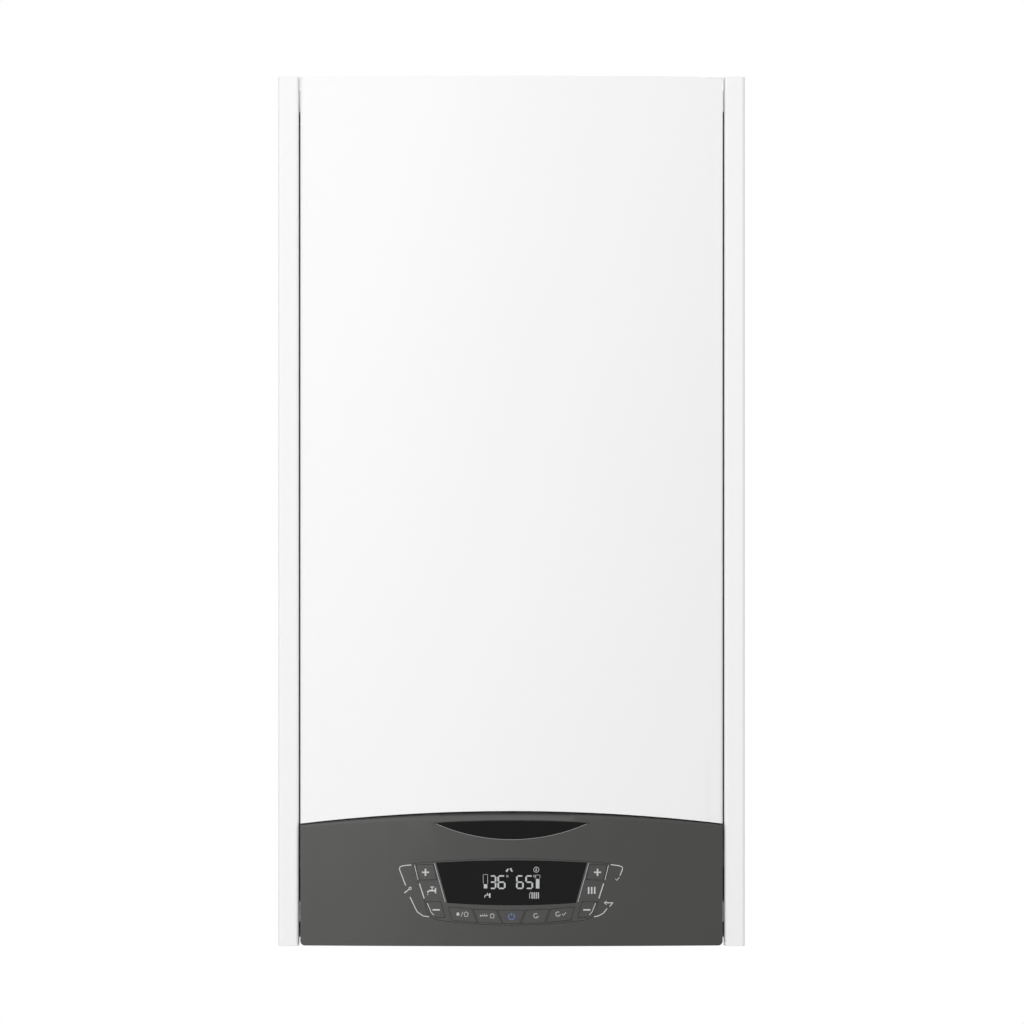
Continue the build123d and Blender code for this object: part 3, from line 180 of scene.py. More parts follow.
def makeDrawnSkin():  # fine lines left by rolling, drawing or brushing, along the stretched axis
    tree, given, out = newSkin("drawnSkin", [("Line Direction", "Vector", (1.0, 1.0, 1.0))])
    place = addNode(tree, "VectorMath", {"operation": "MULTIPLY"}, i0=given.outputs["Position"],
                    i1=given.outputs["Line Direction"]).outputs["Vector"]
    lines = addNoise(tree, place, given.outputs["Grain Size"], detail=3.0)
    patch = addNoise(tree, given.outputs["Position"], given.outputs["Patch Size"], detail=4.0)
    finishSkin(tree, given, out, lines, patch)


makeGrainSkin()
makeCastSkin()
makeSpangleSkin()
makeDrawnSkin()


def makeMaterial(name, colour, other, skin, grain, depth, patch, gloss, **shaderValues):
    material = bpy.data.materials.new(name)
    material.use_nodes = True
    tree = material.node_tree
    shader = tree.nodes["Principled BSDF"]
    place = addNode(tree, "TexCoord").outputs["Object"]
    surface = tree.nodes.new("ShaderNodeGroup")
    surface.node_tree = bpy.data.node_groups[skin]
    values = {"Grain Size": mm(grain), "Grain Depth": depth, "Patch Size": mm(patch)}
    values.update({"Low Gloss": gloss[0], "High Gloss": gloss[1]})
    lineDirection = shaderValues.pop("lineDirection", None)
    if lineDirection:
        values["Line Direction"] = lineDirection
    tree.links.new(place, surface.inputs["Position"])
    for label, value in values.items():
        surface.inputs[label].default_value = value
    mask = surface.outputs["Mask"]
    tint = addNode(tree, "Mix", {"data_type": "RGBA"}, i0=mask, i6=(*colour, 1), i7=(*other, 1))
    tree.links.new(tint.outputs[2], shader.inputs["Base Color"])
    tree.links.new(surface.outputs["Roughness"], shader.inputs["Roughness"])
    tree.links.new(surface.outputs["Normal"], shader.inputs["Normal"])
    for label, value in shaderValues.items():
        shader.inputs[label.replace("_", " ")].default_value = value
    return material


def grey(value, warm=0.0):
    return (value + warm, value, value - warm)


finishes = {  # grain and patch sizes in mm; gloss is the roughness from dull to shiny
    "casing_white": {
        "colour": grey(0.87), "other": grey(0.86), "skin": "grainSkin", "grain": 1.1, "depth": 0.06,
        "patch": 160, "gloss": (0.42, 0.36), "Specular_IOR_Level": 0.3,
    },
    "galvanised_steel": {
        "colour": grey(0.4, -0.004), "other": grey(0.47, -0.004), "skin": "spangleSkin", "grain": 0.8,
        "depth": 0.06, "patch": 4.5, "gloss": (0.5, 0.4), "Metallic": 1.0,
    },
    "cast_aluminium": {
        "colour": grey(0.46), "other": grey(0.54), "skin": "castSkin", "grain": 0.8, "depth": 0.5,
        "patch": 14, "gloss": (0.56, 0.42), "Metallic": 1.0,
    },
    "rubber_seal": {
        "colour": grey(0.022), "other": grey(0.035), "skin": "grainSkin", "grain": 0.5, "depth": 0.25,
        "patch": 12, "gloss": (0.72, 0.6),
    },
    "key_grey": {
        "colour": (0.037, 0.0365, 0.035), "other": (0.042, 0.0415, 0.04), "skin": "grainSkin",
        "grain": 0.25, "depth": 0.08, "patch": 40, "gloss": (0.42, 0.36),
    },
    "stainless": {
        "colour": grey(0.44), "other": grey(0.5), "skin": "drawnSkin", "grain": 0.35, "depth": 0.12,
        "patch": 40, "gloss": (0.34, 0.26), "Metallic": 1.0, "lineDirection": (0.06, 1.0, 1.0),
    },
    "glass": {
        "colour": grey(0.9), "other": grey(0.94), "skin": "grainSkin", "grain": 4.0, "depth": 0.01,
        "patch": 30, "gloss": (0.04, 0.02), "Transmission_Weight": 1.0,
    },
    "ceramic_fibre": {
        "colour": (0.74, 0.7, 0.62), "other": (0.82, 0.79, 0.72), "skin": "castSkin", "grain": 1.6,
        "depth": 0.9, "patch": 10, "gloss": (0.95, 0.88),
    },
    "copper": {
        "colour": (0.72, 0.32, 0.19), "other": (0.84, 0.42, 0.27), "skin": "drawnSkin", "grain": 0.6,
        "depth": 0.1, "patch": 18, "gloss": (0.36, 0.22), "Metallic": 1.0,
        "lineDirection": (1.0, 1.0, 0.08),
    },
    "brass": {
        "colour": (0.66, 0.5, 0.24), "other": (0.76, 0.6, 0.32), "skin": "castSkin", "grain": 0.5,
        "depth": 0.25, "patch": 12, "gloss": (0.44, 0.3), "Metallic": 1.0,
    },
    "motor_black": {
        "colour": grey(0.018), "other": grey(0.03), "skin": "castSkin", "grain": 0.7, "depth": 0.3,
        "patch": 18, "gloss": (0.5, 0.38),
    },
    "moulded_black": {
        "colour": grey(0.024), "other": grey(0.032), "skin": "grainSkin", "grain": 0.4, "depth": 0.2,
        "patch": 30, "gloss": (0.55, 0.46),
    },
    "vessel_red": {
        "colour": (0.42, 0.02, 0.016), "other": (0.5, 0.03, 0.022), "skin": "grainSkin", "grain": 1.4,
        "depth": 0.12, "patch": 60, "gloss": (0.34, 0.26),
    },
    "knob_red": {
        "colour": (0.48, 0.022, 0.018), "other": (0.54, 0.03, 0.024), "skin": "grainSkin", "grain": 0.4,
        "depth": 0.15, "patch": 8, "gloss": (0.42, 0.34),
    },
    "knob_blue": {
        "colour": (0.016, 0.075, 0.34), "other": (0.022, 0.095, 0.4), "skin": "grainSkin", "grain": 0.4,
        "depth": 0.15, "patch": 8, "gloss": (0.42, 0.34),
    },
    "cast_iron": {
        "colour": grey(0.03), "other": grey(0.05), "skin": "castSkin", "grain": 1.2, "depth": 0.7,
        "patch": 20, "gloss": (0.62, 0.48),
    },
    "fascia_grey": {
        "colour": (0.0345, 0.034, 0.0325), "other": (0.0375, 0.037, 0.0355), "skin": "grainSkin",
        "grain": 0.35, "depth": 0.08, "patch": 90, "gloss": (0.42, 0.38),
    },
    "badge_black": {
        "colour": grey(0.005), "other": grey(0.007), "skin": "grainSkin", "grain": 2.0, "depth": 0.02,
        "patch": 40, "gloss": (0.16, 0.12), "Specular_IOR_Level": 0.1,
    },
    "lens_dark": {
        "colour": grey(0.006), "other": grey(0.008), "skin": "grainSkin", "grain": 3.0, "depth": 0.01,
        "patch": 50, "gloss": (0.14, 0.1), "Specular_IOR_Level": 0.1,
    },
    "lcd": {
        "colour": grey(0.02), "other": grey(0.026), "skin": "grainSkin", "grain": 1.0, "depth": 0.02,
        "patch": 20, "gloss": (0.3, 0.24),
    },
    "print_pale": {
        "colour": grey(0.5), "other": grey(0.54), "skin": "grainSkin", "grain": 0.5, "depth": 0.04,
        "patch": 9, "gloss": (0.5, 0.44),
    },
    "print_grey": {
        "colour": grey(0.22), "other": grey(0.26), "skin": "grainSkin", "grain": 0.5, "depth": 0.04,
        "patch": 9, "gloss": (0.4, 0.34),
    },
    "print_blue": {
        "colour": (0.09, 0.15, 0.36), "other": (0.11, 0.18, 0.42), "skin": "grainSkin", "grain": 0.5,
        "depth": 0.04, "patch": 9, "gloss": (0.46, 0.4),
    },
    "display_light": {
        "colour": grey(0.46, -0.01), "other": grey(0.5, -0.01), "skin": "grainSkin", "grain": 0.6,
        "depth": 0.03, "patch": 12, "gloss": (0.3, 0.26),
    },
    "pcb_green": {
        "colour": (0.01, 0.085, 0.035), "other": (0.014, 0.105, 0.046), "skin": "drawnSkin", "grain": 0.4,
        "depth": 0.08, "patch": 9, "gloss": (0.4, 0.3), "lineDirection": (1.0, 1.0, 0.3),
    },
}
materials = {}
for slot, facts in finishes.items():
    materials[slot] = makeMaterial(slot, **facts)
print("materials ready:", len(materials))


def finishPiece(piece, body, slot, look=None):  # material and body of a finished piece; the slot picks its material where no look is given
    piece.data.materials.clear()
    piece.data.materials.append(materials[look or slot])
    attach(piece, body)


corners = {"front_panel": {"radius": 3.0, "steps": 5, "direction": (0, 0, 1), "shortest": 100}}
for key in [node for node in frame["nodes"] if node.startswith("button_")]:
    corners[key] = {"radius": 0.9, "steps": 3, "direction": (0, 1, 0), "shortest": 3}
cornerLimits = {"aligned": 0.999, "besideWidest": 0.05, "frontShare": 0.94}


def roundCorners(piece, radius, steps, direction, shortest):  # the long outer edges along a direction
    editAll(piece)
    bpy.ops.mesh.select_mode(type="EDGE")
    bpy.ops.mesh.select_all(action="DESELECT")
    leaveEdit()
    mesh = piece.data
    rim = max(abs(vertex.co.x) for vertex in mesh.vertices) - mm(cornerLimits["besideWidest"])
    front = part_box("front_panel")[0][1] * cornerLimits["frontShare"]
    for edge in mesh.edges:
        start, end = (mesh.vertices[index].co for index in edge.vertices)
        run = end - start
        turned = abs(run.normalized().dot(Vector(direction)))
        along = run.length > mm(shortest) and turned > cornerLimits["aligned"]
        outer = direction[1] or (abs(start.x) > rim and start.y < front)
        edge.select = bool(along and outer)
    bpy.ops.object.mode_set(mode="EDIT")
    bpy.ops.mesh.bevel(offset=mm(radius), segments=steps)
    leaveEdit()


finishing = {"flatWithin": 0.3, "sharpAngle": 30, "smoothAngle": 35, "edgeSteps": 2}  # angles in degrees


def dress(node, edge):  # a copy of the node with broken edges
    source = frame["nodes"][node]
    piece = source.copy()
    piece.data = source.data.copy()
    piece.parent = None
    for key in list(piece.keys()):
        del piece[key]
    piece.name = node + "_finished"
    bpy.context.scene.collection.objects.link(piece)
    editAll(piece)
    bpy.ops.mesh.customdata_custom_splitnormals_clear()
    bpy.ops.mesh.remove_doubles(threshold=mm(weld["node"]))
    bpy.ops.mesh.dissolve_limited(angle_limit=math.radians(finishing["flatWithin"]))
    leaveEdit()
    if node in corners:
        roundCorners(piece, **corners[node])
    addModifier(piece, "BEVEL", width=mm(edge), segments=finishing["edgeSteps"], limit_method="ANGLE",
                angle_limit=math.radians(finishing["sharpAngle"]))
    smooth(piece, finishing["smoothAngle"])
    addModifier(piece, "WEIGHTED_NORMAL", keep_sharp=True)
    finishPiece(piece, bodyOf[node], slotOf[node])
    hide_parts(node)


edges = {  # width of the broken edges, mm
    "front_panel": 0.4, "side_panel_left": 0.4, "side_panel_right": 0.4, "fascia": 0.35, "badge": 0.2,
    "keypad_bezel": 0.25, "display_lens": 0.2, "control_box": 0.5, "others": 0.3,
}
for node in sorted(frame["nodes"]):
    dress(node, edges.get(node, edges["others"]))
print("nodes dressed")


# lines, signs and beads: strokes drawn on a surface in mm, from the middle and from the casing's lower edge
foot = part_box("side_panel_left")[0][2]
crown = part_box("fascia")[0][1]
bow = {"half": 181.0, "rise": 16.0}
bowRadius = mm((bow["half"] ** 2 + bow["rise"] ** 2) / (2 * bow["rise"]))


def frontSurface(across, inset):  # y of the bowed front, or of a surface that lies inset behind it
    return crown + bowRadius - math.sqrt((bowRadius - mm(inset)) ** 2 - across ** 2)


def onBow(inset):
    return lambda across, lift, height: Vector((across, frontSurface(across, inset) - lift, height))


def onUpright(y, outward):  # outward is -1 on a face towards the room, 1 on a face towards the wall
    return lambda across, lift, height: Vector((across, y + outward * lift, height))


strokeFacts = {"step": 3.0, "flatness": 0.08, "smoothAngle": 50}


def divided(points, widths):  # short steps, so that a stroke follows the bow
    path = [(*points[0], widths[0])]
    for index in range(len(points) - 1):
        start = (*points[index], widths[index])
        end = (*points[index + 1], widths[index + 1])
        count = max(1, math.ceil(math.dist(start[:2], end[:2]) / strokeFacts["step"]))
        path += [[a + (b - a) * step / count for a, b in zip(start, end)] for step in range(1, count + 1)]
    return path


def drawStrokes(name, strokes, place, body, slot, look=None, flatness=strokeFacts["flatness"]):
    curve = bpy.data.curves.new(name, "CURVE")
    curve.dimensions = "3D"
    curve.bevel_depth = millimetre
    curve.bevel_resolution = 1
    curve.use_fill_caps = True
    for points, width in strokes:
        path = divided(points, width if isinstance(width, list) else [width] * len(points))
        spline = curve.splines.new("POLY")
        spline.points.add(len(path) - 1)
        for point, (across, height, wide) in zip(spline.points, path):
            point.co = (mm(across), 0, foot + mm(height), 1)
            point.radius = wide / 2
    drawn = bpy.data.objects.new(name, curve)
    bpy.context.scene.collection.objects.link(drawn)
    pickOnly(drawn)
    bpy.ops.object.convert(target="MESH")
    drawn = bpy.context.object
    for vertex in drawn.data.vertices:
        across, lift, height = vertex.co
        vertex.co = place(across, -lift * flatness, height)
    smooth(drawn, strokeFacts["smoothAngle"])
    finishPiece(drawn, body, slot, look)


ridgeSteps = (0.01, 0.1, 0.3, 0.6, 1.0)  # where a ridge's rounded end gets a point, as shares of its radius


def ridge(start, end, width):  # a straight bead with rounded ends
    start, end = Vector(start), Vector(end)
    along = (end - start).normalized() * width / 2
    widths = [width * math.sqrt(1 - (1 - step) ** 2) for step in ridgeSteps]
    points = [start + along * step for step in ridgeSteps]
    points += [end - along * step for step in reversed(ridgeSteps)]
    return [tuple(point) for point in points], widths + widths[::-1]


def moved(strokes, across, height):
    return [([(x + across, h + height) for x, h in points], width) for points, width in strokes]


def arc(across, height, radius, start, end, count=14):  # degrees, from the right and upwards
    turns = [math.radians(start + (end - start) * index / count) for index in range(count + 1)]
    return [(across + radius * math.cos(turn), height + radius * math.sin(turn)) for turn in turns]


def shallowArc(half, ends, middle, count=28):  # side to side, with its ends and middle at these heights
    rise = middle - ends
    radius = (half ** 2 + rise ** 2) / (2 * abs(rise))
    upward = 1 if rise > 0 else -1
    columns = [half * (2 * index / count - 1) for index in range(count + 1)]
    return [(x, middle - upward * (radius - math.sqrt(radius ** 2 - x ** 2))) for x in columns]


# each stroke is its points and its width, or a width for every point
house = [
    ([(-2.0, 0.4), (0, 2.0), (2.0, 0.4)], 0.6),
    ([(-1.4, 0.2), (-1.4, -1.9), (1.4, -1.9), (1.4, 0.2)], 0.55),
]
plus = [([(-3.05, 0), (3.05, 0)], 1.4), ([(0, -3.05), (0, 3.05)], 1.4)]
minus = [([(-3.05, 0), (3.05, 0)], 1.4)]
tap = [
    ([(3.4, -2.3), (3.4, 2.3)], 1.2), ([(3.4, 0), (-1.8, 0)], 1.7), ([(0.5, 0), (0.5, 2.7)], 0.8),
    ([(-1.1, 3.1), (2.1, 3.1)], 0.9), ([(-1.8, 0), (-3.2, -0.7), (-3.2, -1.9)], 1.4),
    ([(-3.2, -2.9), (-3.2, -3.7)], [0.5, 1.1]),
]
radiator = [([(x, -3.0), (x, 3.0)], 1.3) for x in (-2.6, 0, 2.6)]
wrench = [
    ([(-2.3, -1.8), (1.5, 1.2)], 1.0), (arc(2.4, 1.9, 1.0, 250, -110, 10), 0.8),
    ([(-2.5, -2.0), (-2.2, -1.7)], 1.7),
]
modeSign = moved(house, 3.4, 0)
modeSign += [([(-0.9, -2.0), (0.5, 2.0)], 0.5), ([(-3.6, -1.3), (-3.6, 1.3)], 2.2)]
thermometer = [([(-5.4, 0), (0.6, 0)], 0.7), ([(-6.0, 0), (-5.5, 0)], 2.0)]
thermometer += [([(x, 0.9), (x, 1.7)], 0.35) for x in (-3.6, -2.1, -0.6)]
comfortSign = thermometer + moved(house, 4.4, 0)
powerSign = [(arc(0, 0, 2.6, 122, 418, 22), 0.8), ([(0, 0.9), (0, 3.3)], 0.8)]
loopSign = [(arc(0, 0, 1.9, 50, 320, 14), 0.6), ([(2.4, -0.1), (1.5, -1.3), (0.4, -0.4)], 0.5)]
checkSign = [([(-1.6, 0.2), (-0.5, -1.1), (1.7, 1.5)], 0.65)]
resetSign = moved(loopSign, -2.2, 0) + moved(checkSign, 3.0, 0)

bodyMarks = {  # lines beside the keys, on the fascia
    "left_lines": [
        ([(-85.7, 70.0), (-93.1, 69.2), (-95.4, 68.3), (-96.0, 66.5), (-90.6, 52.4)], 0.9),
        ([(-86.9, 42.5), (-80.8, 30.0), (-75.7, 26.3), (-70.6, 25.6)], 0.9),
    ],
    "left_wrench": moved(wrench, -89.1, 48.0),
    "right_lines": [
        ([(85.0, 70.2), (92.2, 69.2), (94.6, 68.3), (95.1, 66.5), (92.8, 60.8)], 0.9),
        ([(86.9, 37.6), (79.9, 37.6)], 0.9), ([(86.7, 37.6), (84.0, 34.4)], 0.9),
        ([(81.4, 39.2), (79.3, 37.6), (81.4, 36.0)], 0.7),
        ([(81.8, 32.7), (78.3, 28.4), (74.2, 26.3), (70.6, 25.6)], 0.9),
    ],
    "right_check": moved(checkSign, 90.6, 57.8),
}
bezelMarks = {  # lines and signs that are printed on the keypad bezel
    "left_bars": [([(-83.0, 69.6), (-79.9, 57.1)], 0.6), ([(-79.0, 54.0), (-74.9, 41.3)], 1.5)],
    "right_bars": [([(83.0, 69.6), (79.9, 57.1)], 0.6), ([(79.0, 54.0), (74.9, 41.3)], 1.5)],
    "tap_sign": moved(tap, -68.4, 48.0),
    "radiator_sign": moved(radiator, 68.6, 48.2),
    "window_lines": [([(-66.1, 71.5), (-56.7, 38.2)], 0.45), ([(66.1, 71.5), (56.7, 38.2)], 0.45)],
}
leftCorner = [([(-72.1, 37.4), (-68.7, 29.4), (-66.4, 27.0)], 0.7)]
rightCorner = [([(72.1, 37.4), (68.7, 29.4), (66.4, 27.0)], 0.7)]
keyMarks = {
    "button_hot_water_plus": moved(plus, -73.6, 63.7),
    "button_hot_water_minus": moved(minus, -64.4, 31.6) + leftCorner,
    "button_heating_plus": moved(plus, 73.6, 63.7),
    "button_heating_minus": moved(minus, 64.4, 31.6) + rightCorner,
    "button_mode": moved(modeSign, -42.2, 28.0),
    "button_comfort": moved(comfortSign, -20.9, 26.6),
    "button_power": moved(powerSign, 0, 25.9),
    "button_auto": moved(loopSign, 20.9, 26.6),
    "button_reset": moved(resetSign, 41.9, 28.0),
}
insets = {"fascia": 0, "bezel": 0.2, "key": -0.5, "badge": 0.1, "lens": 0.5}  # mm behind the bowed front
printSlot = "lcd"  # slot name handed to all printed marks; their looks pick their materials
for name, strokes in bodyMarks.items():
    drawStrokes(name, strokes, onBow(insets["fascia"]), bodyOf["fascia"], printSlot, "print_pale")
for name, strokes in bezelMarks.items():
    drawStrokes(name, strokes, onBow(insets["bezel"]), bodyOf["keypad_bezel"], printSlot, "print_pale")
for key, strokes in keyMarks.items():
    ink = "print_blue" if key == "button_power" else "print_pale"
    drawStrokes(key + "_sign", strokes, onBow(insets["key"]), bodyOf[key], printSlot, ink)
badgeEdge = {"half": 64.6, "ends": 105.2, "middle": 91.7, "width": 0.5}
rim = [(shallowArc(badgeEdge["half"], badgeEdge["ends"], badgeEdge["middle"]), badgeEdge["width"])]
drawStrokes("badge_rim", rim, onBow(insets["badge"]), bodyOf["badge"], printSlot, "print_grey")
print("marks drawn")


# the numbers and signs of the display, just in front of the lens
segments = {  # ends of each segment, as shares of a digit's width and height
    "top": [(0, 1), (1, 1)], "upperRight": [(1, 1), (1, 0.5)], "lowerRight": [(1, 0.5), (1, 0)],
    "foot": [(0, 0), (1, 0)], "lowerLeft": [(0, 0.5), (0, 0)], "upperLeft": [(0, 1), (0, 0.5)],
    "middle": [(0, 0.5), (1, 0.5)],
}
digitSegments = {
    "3": ("top", "upperRight", "lowerRight", "foot", "middle"),
    "5": ("top", "upperLeft", "middle", "lowerRight", "foot"),
    "6": ("top", "upperLeft", "lowerLeft", "foot", "lowerRight", "middle"),
}
digitFacts = {"low": 50.0, "high": 60.6, "stroke": 1.45, "point": 0.3, "gap": 0.35, "tip": 0.5}


def digitStrokes(digit, left, right):
    strokes = []
    wide, low, high = right - left, digitFacts["low"], digitFacts["high"]
    for segment in digitSegments[digit]:
        ends = [(left + share * wide, low + rise * (high - low)) for share, rise in segments[segment]]
        run = math.dist(*ends)
        step = [(b - a) / run for a, b in zip(*ends)]
        stops = [digitFacts["gap"], digitFacts["gap"] + digitFacts["tip"]]
        stops += [run - stop for stop in reversed(stops)]
        points = [(ends[0][0] + step[0] * stop, ends[0][1] + step[1] * stop) for stop in stops]
        widths = [digitFacts["point"], digitFacts["stroke"]]
        strokes.append((points, widths + widths[::-1]))
    return strokes


displayMarks = {
    "display_numbers": digitStrokes("3", -18.1, -13.6) + digitStrokes("6", -11.3, -5.8)
    + digitStrokes("6", 4.6, 9.8) + digitStrokes("5", 12.5, 17.8)
    + [(arc(-3.6, 60.4, 0.8, 0, 360, 12), 0.4), (arc(19.6, 60.4, 0.8, 0, 360, 12), 0.4)],
    "display_bars": [
        ([(-24.1, 54.0), (-24.3, 61.8), (-20.4, 61.8), (-20.4, 54.0)], 0.4),
        ([(-22.2, 50.0), (-22.2, 53.6)], 3.0), ([(22.4, 49.9), (22.4, 58.0)], 3.0),
        ([(20.8, 58.4), (20.6, 61.4), (24.4, 61.4), (24.2, 58.4)], 0.4),
    ],
    "display_signs": [
        ([(-4.4, 64.3), (-2.7, 66.8)], [2.0, 1.3]), ([(-0.9, 67.2), (0.2, 64.3)], [2.3, 0.7]),
        ([(0.9, 64.4), (1.1, 65.4)], 0.6),
        (arc(21.2, 66.0, 2.2, 0, 360, 20), 0.55),
        ([(21.2, 64.9), (21.0, 66.3), (21.5, 67.3)], [1.2, 0.9, 0.2]),
        ([(-18.6, 42.0), (-18.6, 45.8)], 1.3),
        ([(-18.6, 44.4), (-21.6, 44.4), (-22.8, 43.6), (-22.9, 42.2)], 0.9),
        ([(-20.6, 44.6), (-20.6, 46.1)], 0.6),
        ([(15.6, 41.3), (15.4, 44.8), (16.5, 46.9)], 0.6),
    ] + [([(x, 41.2), (x, 46.6)], 0.95) for x in (17.6, 19.4, 21.2, 23.0)],
}
for name, strokes in displayMarks.items():
    drawStrokes(name, strokes, onBow(insets["lens"]), bodyOf["display_lens"], printSlot, "display_light")
print("display drawn")


# pieces behind the front panel and on the hidden sides
def addPrimitive(kind, **settings):  # with its place and turn already in its mesh
    clearSelection()
    getattr(bpy.ops.mesh, "primitive_" + kind + "_add")(**settings)
    bpy.ops.object.transform_apply(location=True, rotation=True, scale=True)
    return bpy.context.object


def cutAway(piece, cutter):
    addModifier(piece, "BOOLEAN", object=cutter, operation="DIFFERENCE")
    bpy.data.objects.remove(cutter)


def joined(name, pieces, body, slot, degrees=finishing["smoothAngle"]):
    pickOnly(pieces[0])
    for piece in pieces:
        piece.select_set(True)
    if len(pieces) > 1:
        bpy.ops.object.join()
    whole = bpy.context.object
    whole.name = name
    whole.data.name = name
    smooth(whole, degrees)
    finishPiece(whole, body, slot)


towardsRoom, upwards = (0, -1, 0), (0, 0, 1)


def placed(piece, place, axis=upwards):  # its mesh turned from upwards to this axis and set here, in mm
    turn = Vector(upwards).rotation_difference(Vector(axis)).to_matrix().to_4x4()
    piece.data.transform(turn)
    piece.data.transform(Matrix.Translation(Vector([mm(value) for value in place])))
    return piece


def copyOf(source):
    copy = source.copy()
    copy.data = source.data.copy()
    bpy.context.scene.collection.objects.link(copy)
    return copy


def copies(name, source, places, axis, body, slot):
    joined(name, [placed(copyOf(source), place, axis) for place in places], body, slot)
    bpy.data.objects.remove(source)


def spun(profile, place, axis=upwards, steps=32):  # a closed outline of radii and heights, turned
    mesh = bpy.data.meshes.new("profile")
    points = [(mm(radius), 0, mm(rise)) for radius, rise in profile]
    mesh.from_pydata(points, [(index, (index + 1) % len(points)) for index in range(len(points))], [])
    ring = bpy.data.objects.new("profile", mesh)
    bpy.context.scene.collection.objects.link(ring)
    editAll(ring)
    bpy.ops.mesh.spin(steps=steps, angle=2 * math.pi, center=(0, 0, 0), axis=upwards)
    bpy.ops.mesh.select_all(action="SELECT")
    bpy.ops.mesh.remove_doubles(threshold=mm(weld["ring"]))
    bpy.ops.mesh.normals_make_consistent(inside=False)
    leaveEdit()
    return placed(ring, place, axis)


screw = {  # round and slotDepth are shares of the head's height
    "radius": 4.0, "height": 2.3, "sides": 20, "round": 0.4, "roundSteps": 3,
    "slotLength": 4.6, "slotWidth": 0.9, "slotDepth": 0.6,
}


def modelScrew(height=screw["height"]):  # head with a cross recess, standing on the origin
    high = mm(height)
    head = addPrimitive("cylinder", vertices=screw["sides"], radius=mm(screw["radius"]), depth=high,
                        location=(0, 0, high / 2))
    addModifier(head, "BEVEL", width=high * screw["round"], segments=screw["roundSteps"],
                limit_method="ANGLE")
    slot = (screw["slotLength"], screw["slotWidth"])
    for wide, deep in (slot, slot[::-1]):
        scale = (mm(wide), mm(deep), 2 * high * screw["slotDepth"])
        cutAway(head, addPrimitive("cube", size=1, location=(0, 0, high), scale=scale))
    return head


nutEdge = {"width": 1.2, "steps": 3}


def modelNut(flats, height):  # hexagon nut with broken corners, standing on the origin
    nut = addPrimitive("cylinder", vertices=6, radius=mm(flats) / math.sqrt(3), depth=mm(height),
                       location=(0, 0, mm(height) / 2))
    addModifier(nut, "BEVEL", width=mm(nutEdge["width"]), segments=nutEdge["steps"], limit_method="ANGLE")
    return nut


def heightOf(above):  # millimetres of z for a height above the casing's lower edge
    return foot / millimetre + above


chassis = bodyOf["rear_frame"]
cover = {  # all of it stays flat enough for the front panel's tongues and edge to pass over
    "frameHalf": 108, "frameLow": 336, "frameHigh": 676, "corner": 14, "bead": 9, "beadFlatness": 0.16,
    "ribs": (-54, 54), "ribLow": 420, "ribHigh": 640,
    "screwsAcross": (-150, 0, 150), "screwHeights": (311, 698), "screwHead": 0.9, "rimHeight": 372,
    "rim": [(14.0, -0.2), (14.0, 0.6), (14.6, 0.9), (17.2, 0.9), (17.8, 0.5), (17.8, -0.2)],
}


def roundedFrame(half, low, high, corner, steps=6):
    left, right, bottom, top = corner - half, half - corner, low + corner, high - corner
    centres = ((right, top), (left, top), (left, bottom), (right, bottom))
    path = []
    for (across, height), turn in zip(centres, (0, 90, 180, 270)):
        path += arc(across, height, corner, turn, turn + 90, steps)
    return path + [path[0]]


def dressCover():
    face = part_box("chamber_cover")[0][1]
    outline = roundedFrame(cover["frameHalf"], cover["frameLow"], cover["frameHigh"], cover["corner"])
    beads = [(outline, cover["bead"])]
    beads += [ridge((x, cover["ribLow"]), (x, cover["ribHigh"]), cover["bead"]) for x in cover["ribs"]]
    drawStrokes("cover_beads", beads, onUpright(face, -1), chassis, "galvanised_steel",
                flatness=cover["beadFlatness"])
    y = face / millimetre
    places = [(x, y, heightOf(height)) for x in cover["screwsAcross"] for height in cover["screwHeights"]]
    copies("cover_screws", modelScrew(cover["screwHead"]), places, towardsRoom, chassis, "stainless")
    rimPlace = (0, y, heightOf(cover["rimHeight"]))
    joined("sight_rim", [spun(cover["rim"], rimPlace, towardsRoom)], chassis, "stainless")


thread = {  # radii of the five tails by their place across; the plain tails are drawn in behind the sleeves
    "radii": {-130: 13.2, -65: 10.5, 0: 13.2, 65: 10.5, 130: 13.2}, "low": 5.0, "high": 33.4,
    "pitch": 1.8, "depth": 0.8, "wall": 3.2, "chamfer": 1.4, "lead": 0.6, "steps": 36, "smoothAngle": 25,
    "drawnIn": 1.6, "drawnAbove": 0.7, "near": 0.5,
}


def threadProfile(radius):
    root, inside = radius - thread["depth"], radius - thread["wall"]
    profile = [(inside, thread["low"]), (radius - thread["chamfer"], thread["low"])]
    rise = thread["low"] + thread["lead"]
    while rise + thread["pitch"] < thread["high"]:
        profile += [(root, rise), (radius, rise + thread["pitch"] / 2)]
        rise += thread["pitch"]
    return profile + [(root, rise), (inside, thread["high"])]


def cutThreads():  # grooved sleeves of the five connections
    tails = bpy.data.objects["connection_tails_finished"]
    row = (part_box("connection_tails")[0][1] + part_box("connection_tails")[1][1]) / 2
    top = foot + mm(thread["high"] + thread["drawnAbove"])
    sleeves = []
    for across, radius in thread["radii"].items():
        place = (across, row / millimetre, heightOf(0))
        sleeves.append(spun(threadProfile(radius), place, upwards, thread["steps"]))
        for vertex in tails.data.vertices:
            offset = Vector((vertex.co.x - mm(across), vertex.co.y - row))
            if vertex.co.z < top and abs(offset.length - mm(radius)) < mm(thread["near"]):
                offset *= mm(radius - thread["drawnIn"]) / offset.length
                vertex.co.x, vertex.co.y = mm(across) + offset.x, row + offset.y
    joined("tail_threads", sleeves, chassis, "brass", thread["smoothAngle"])


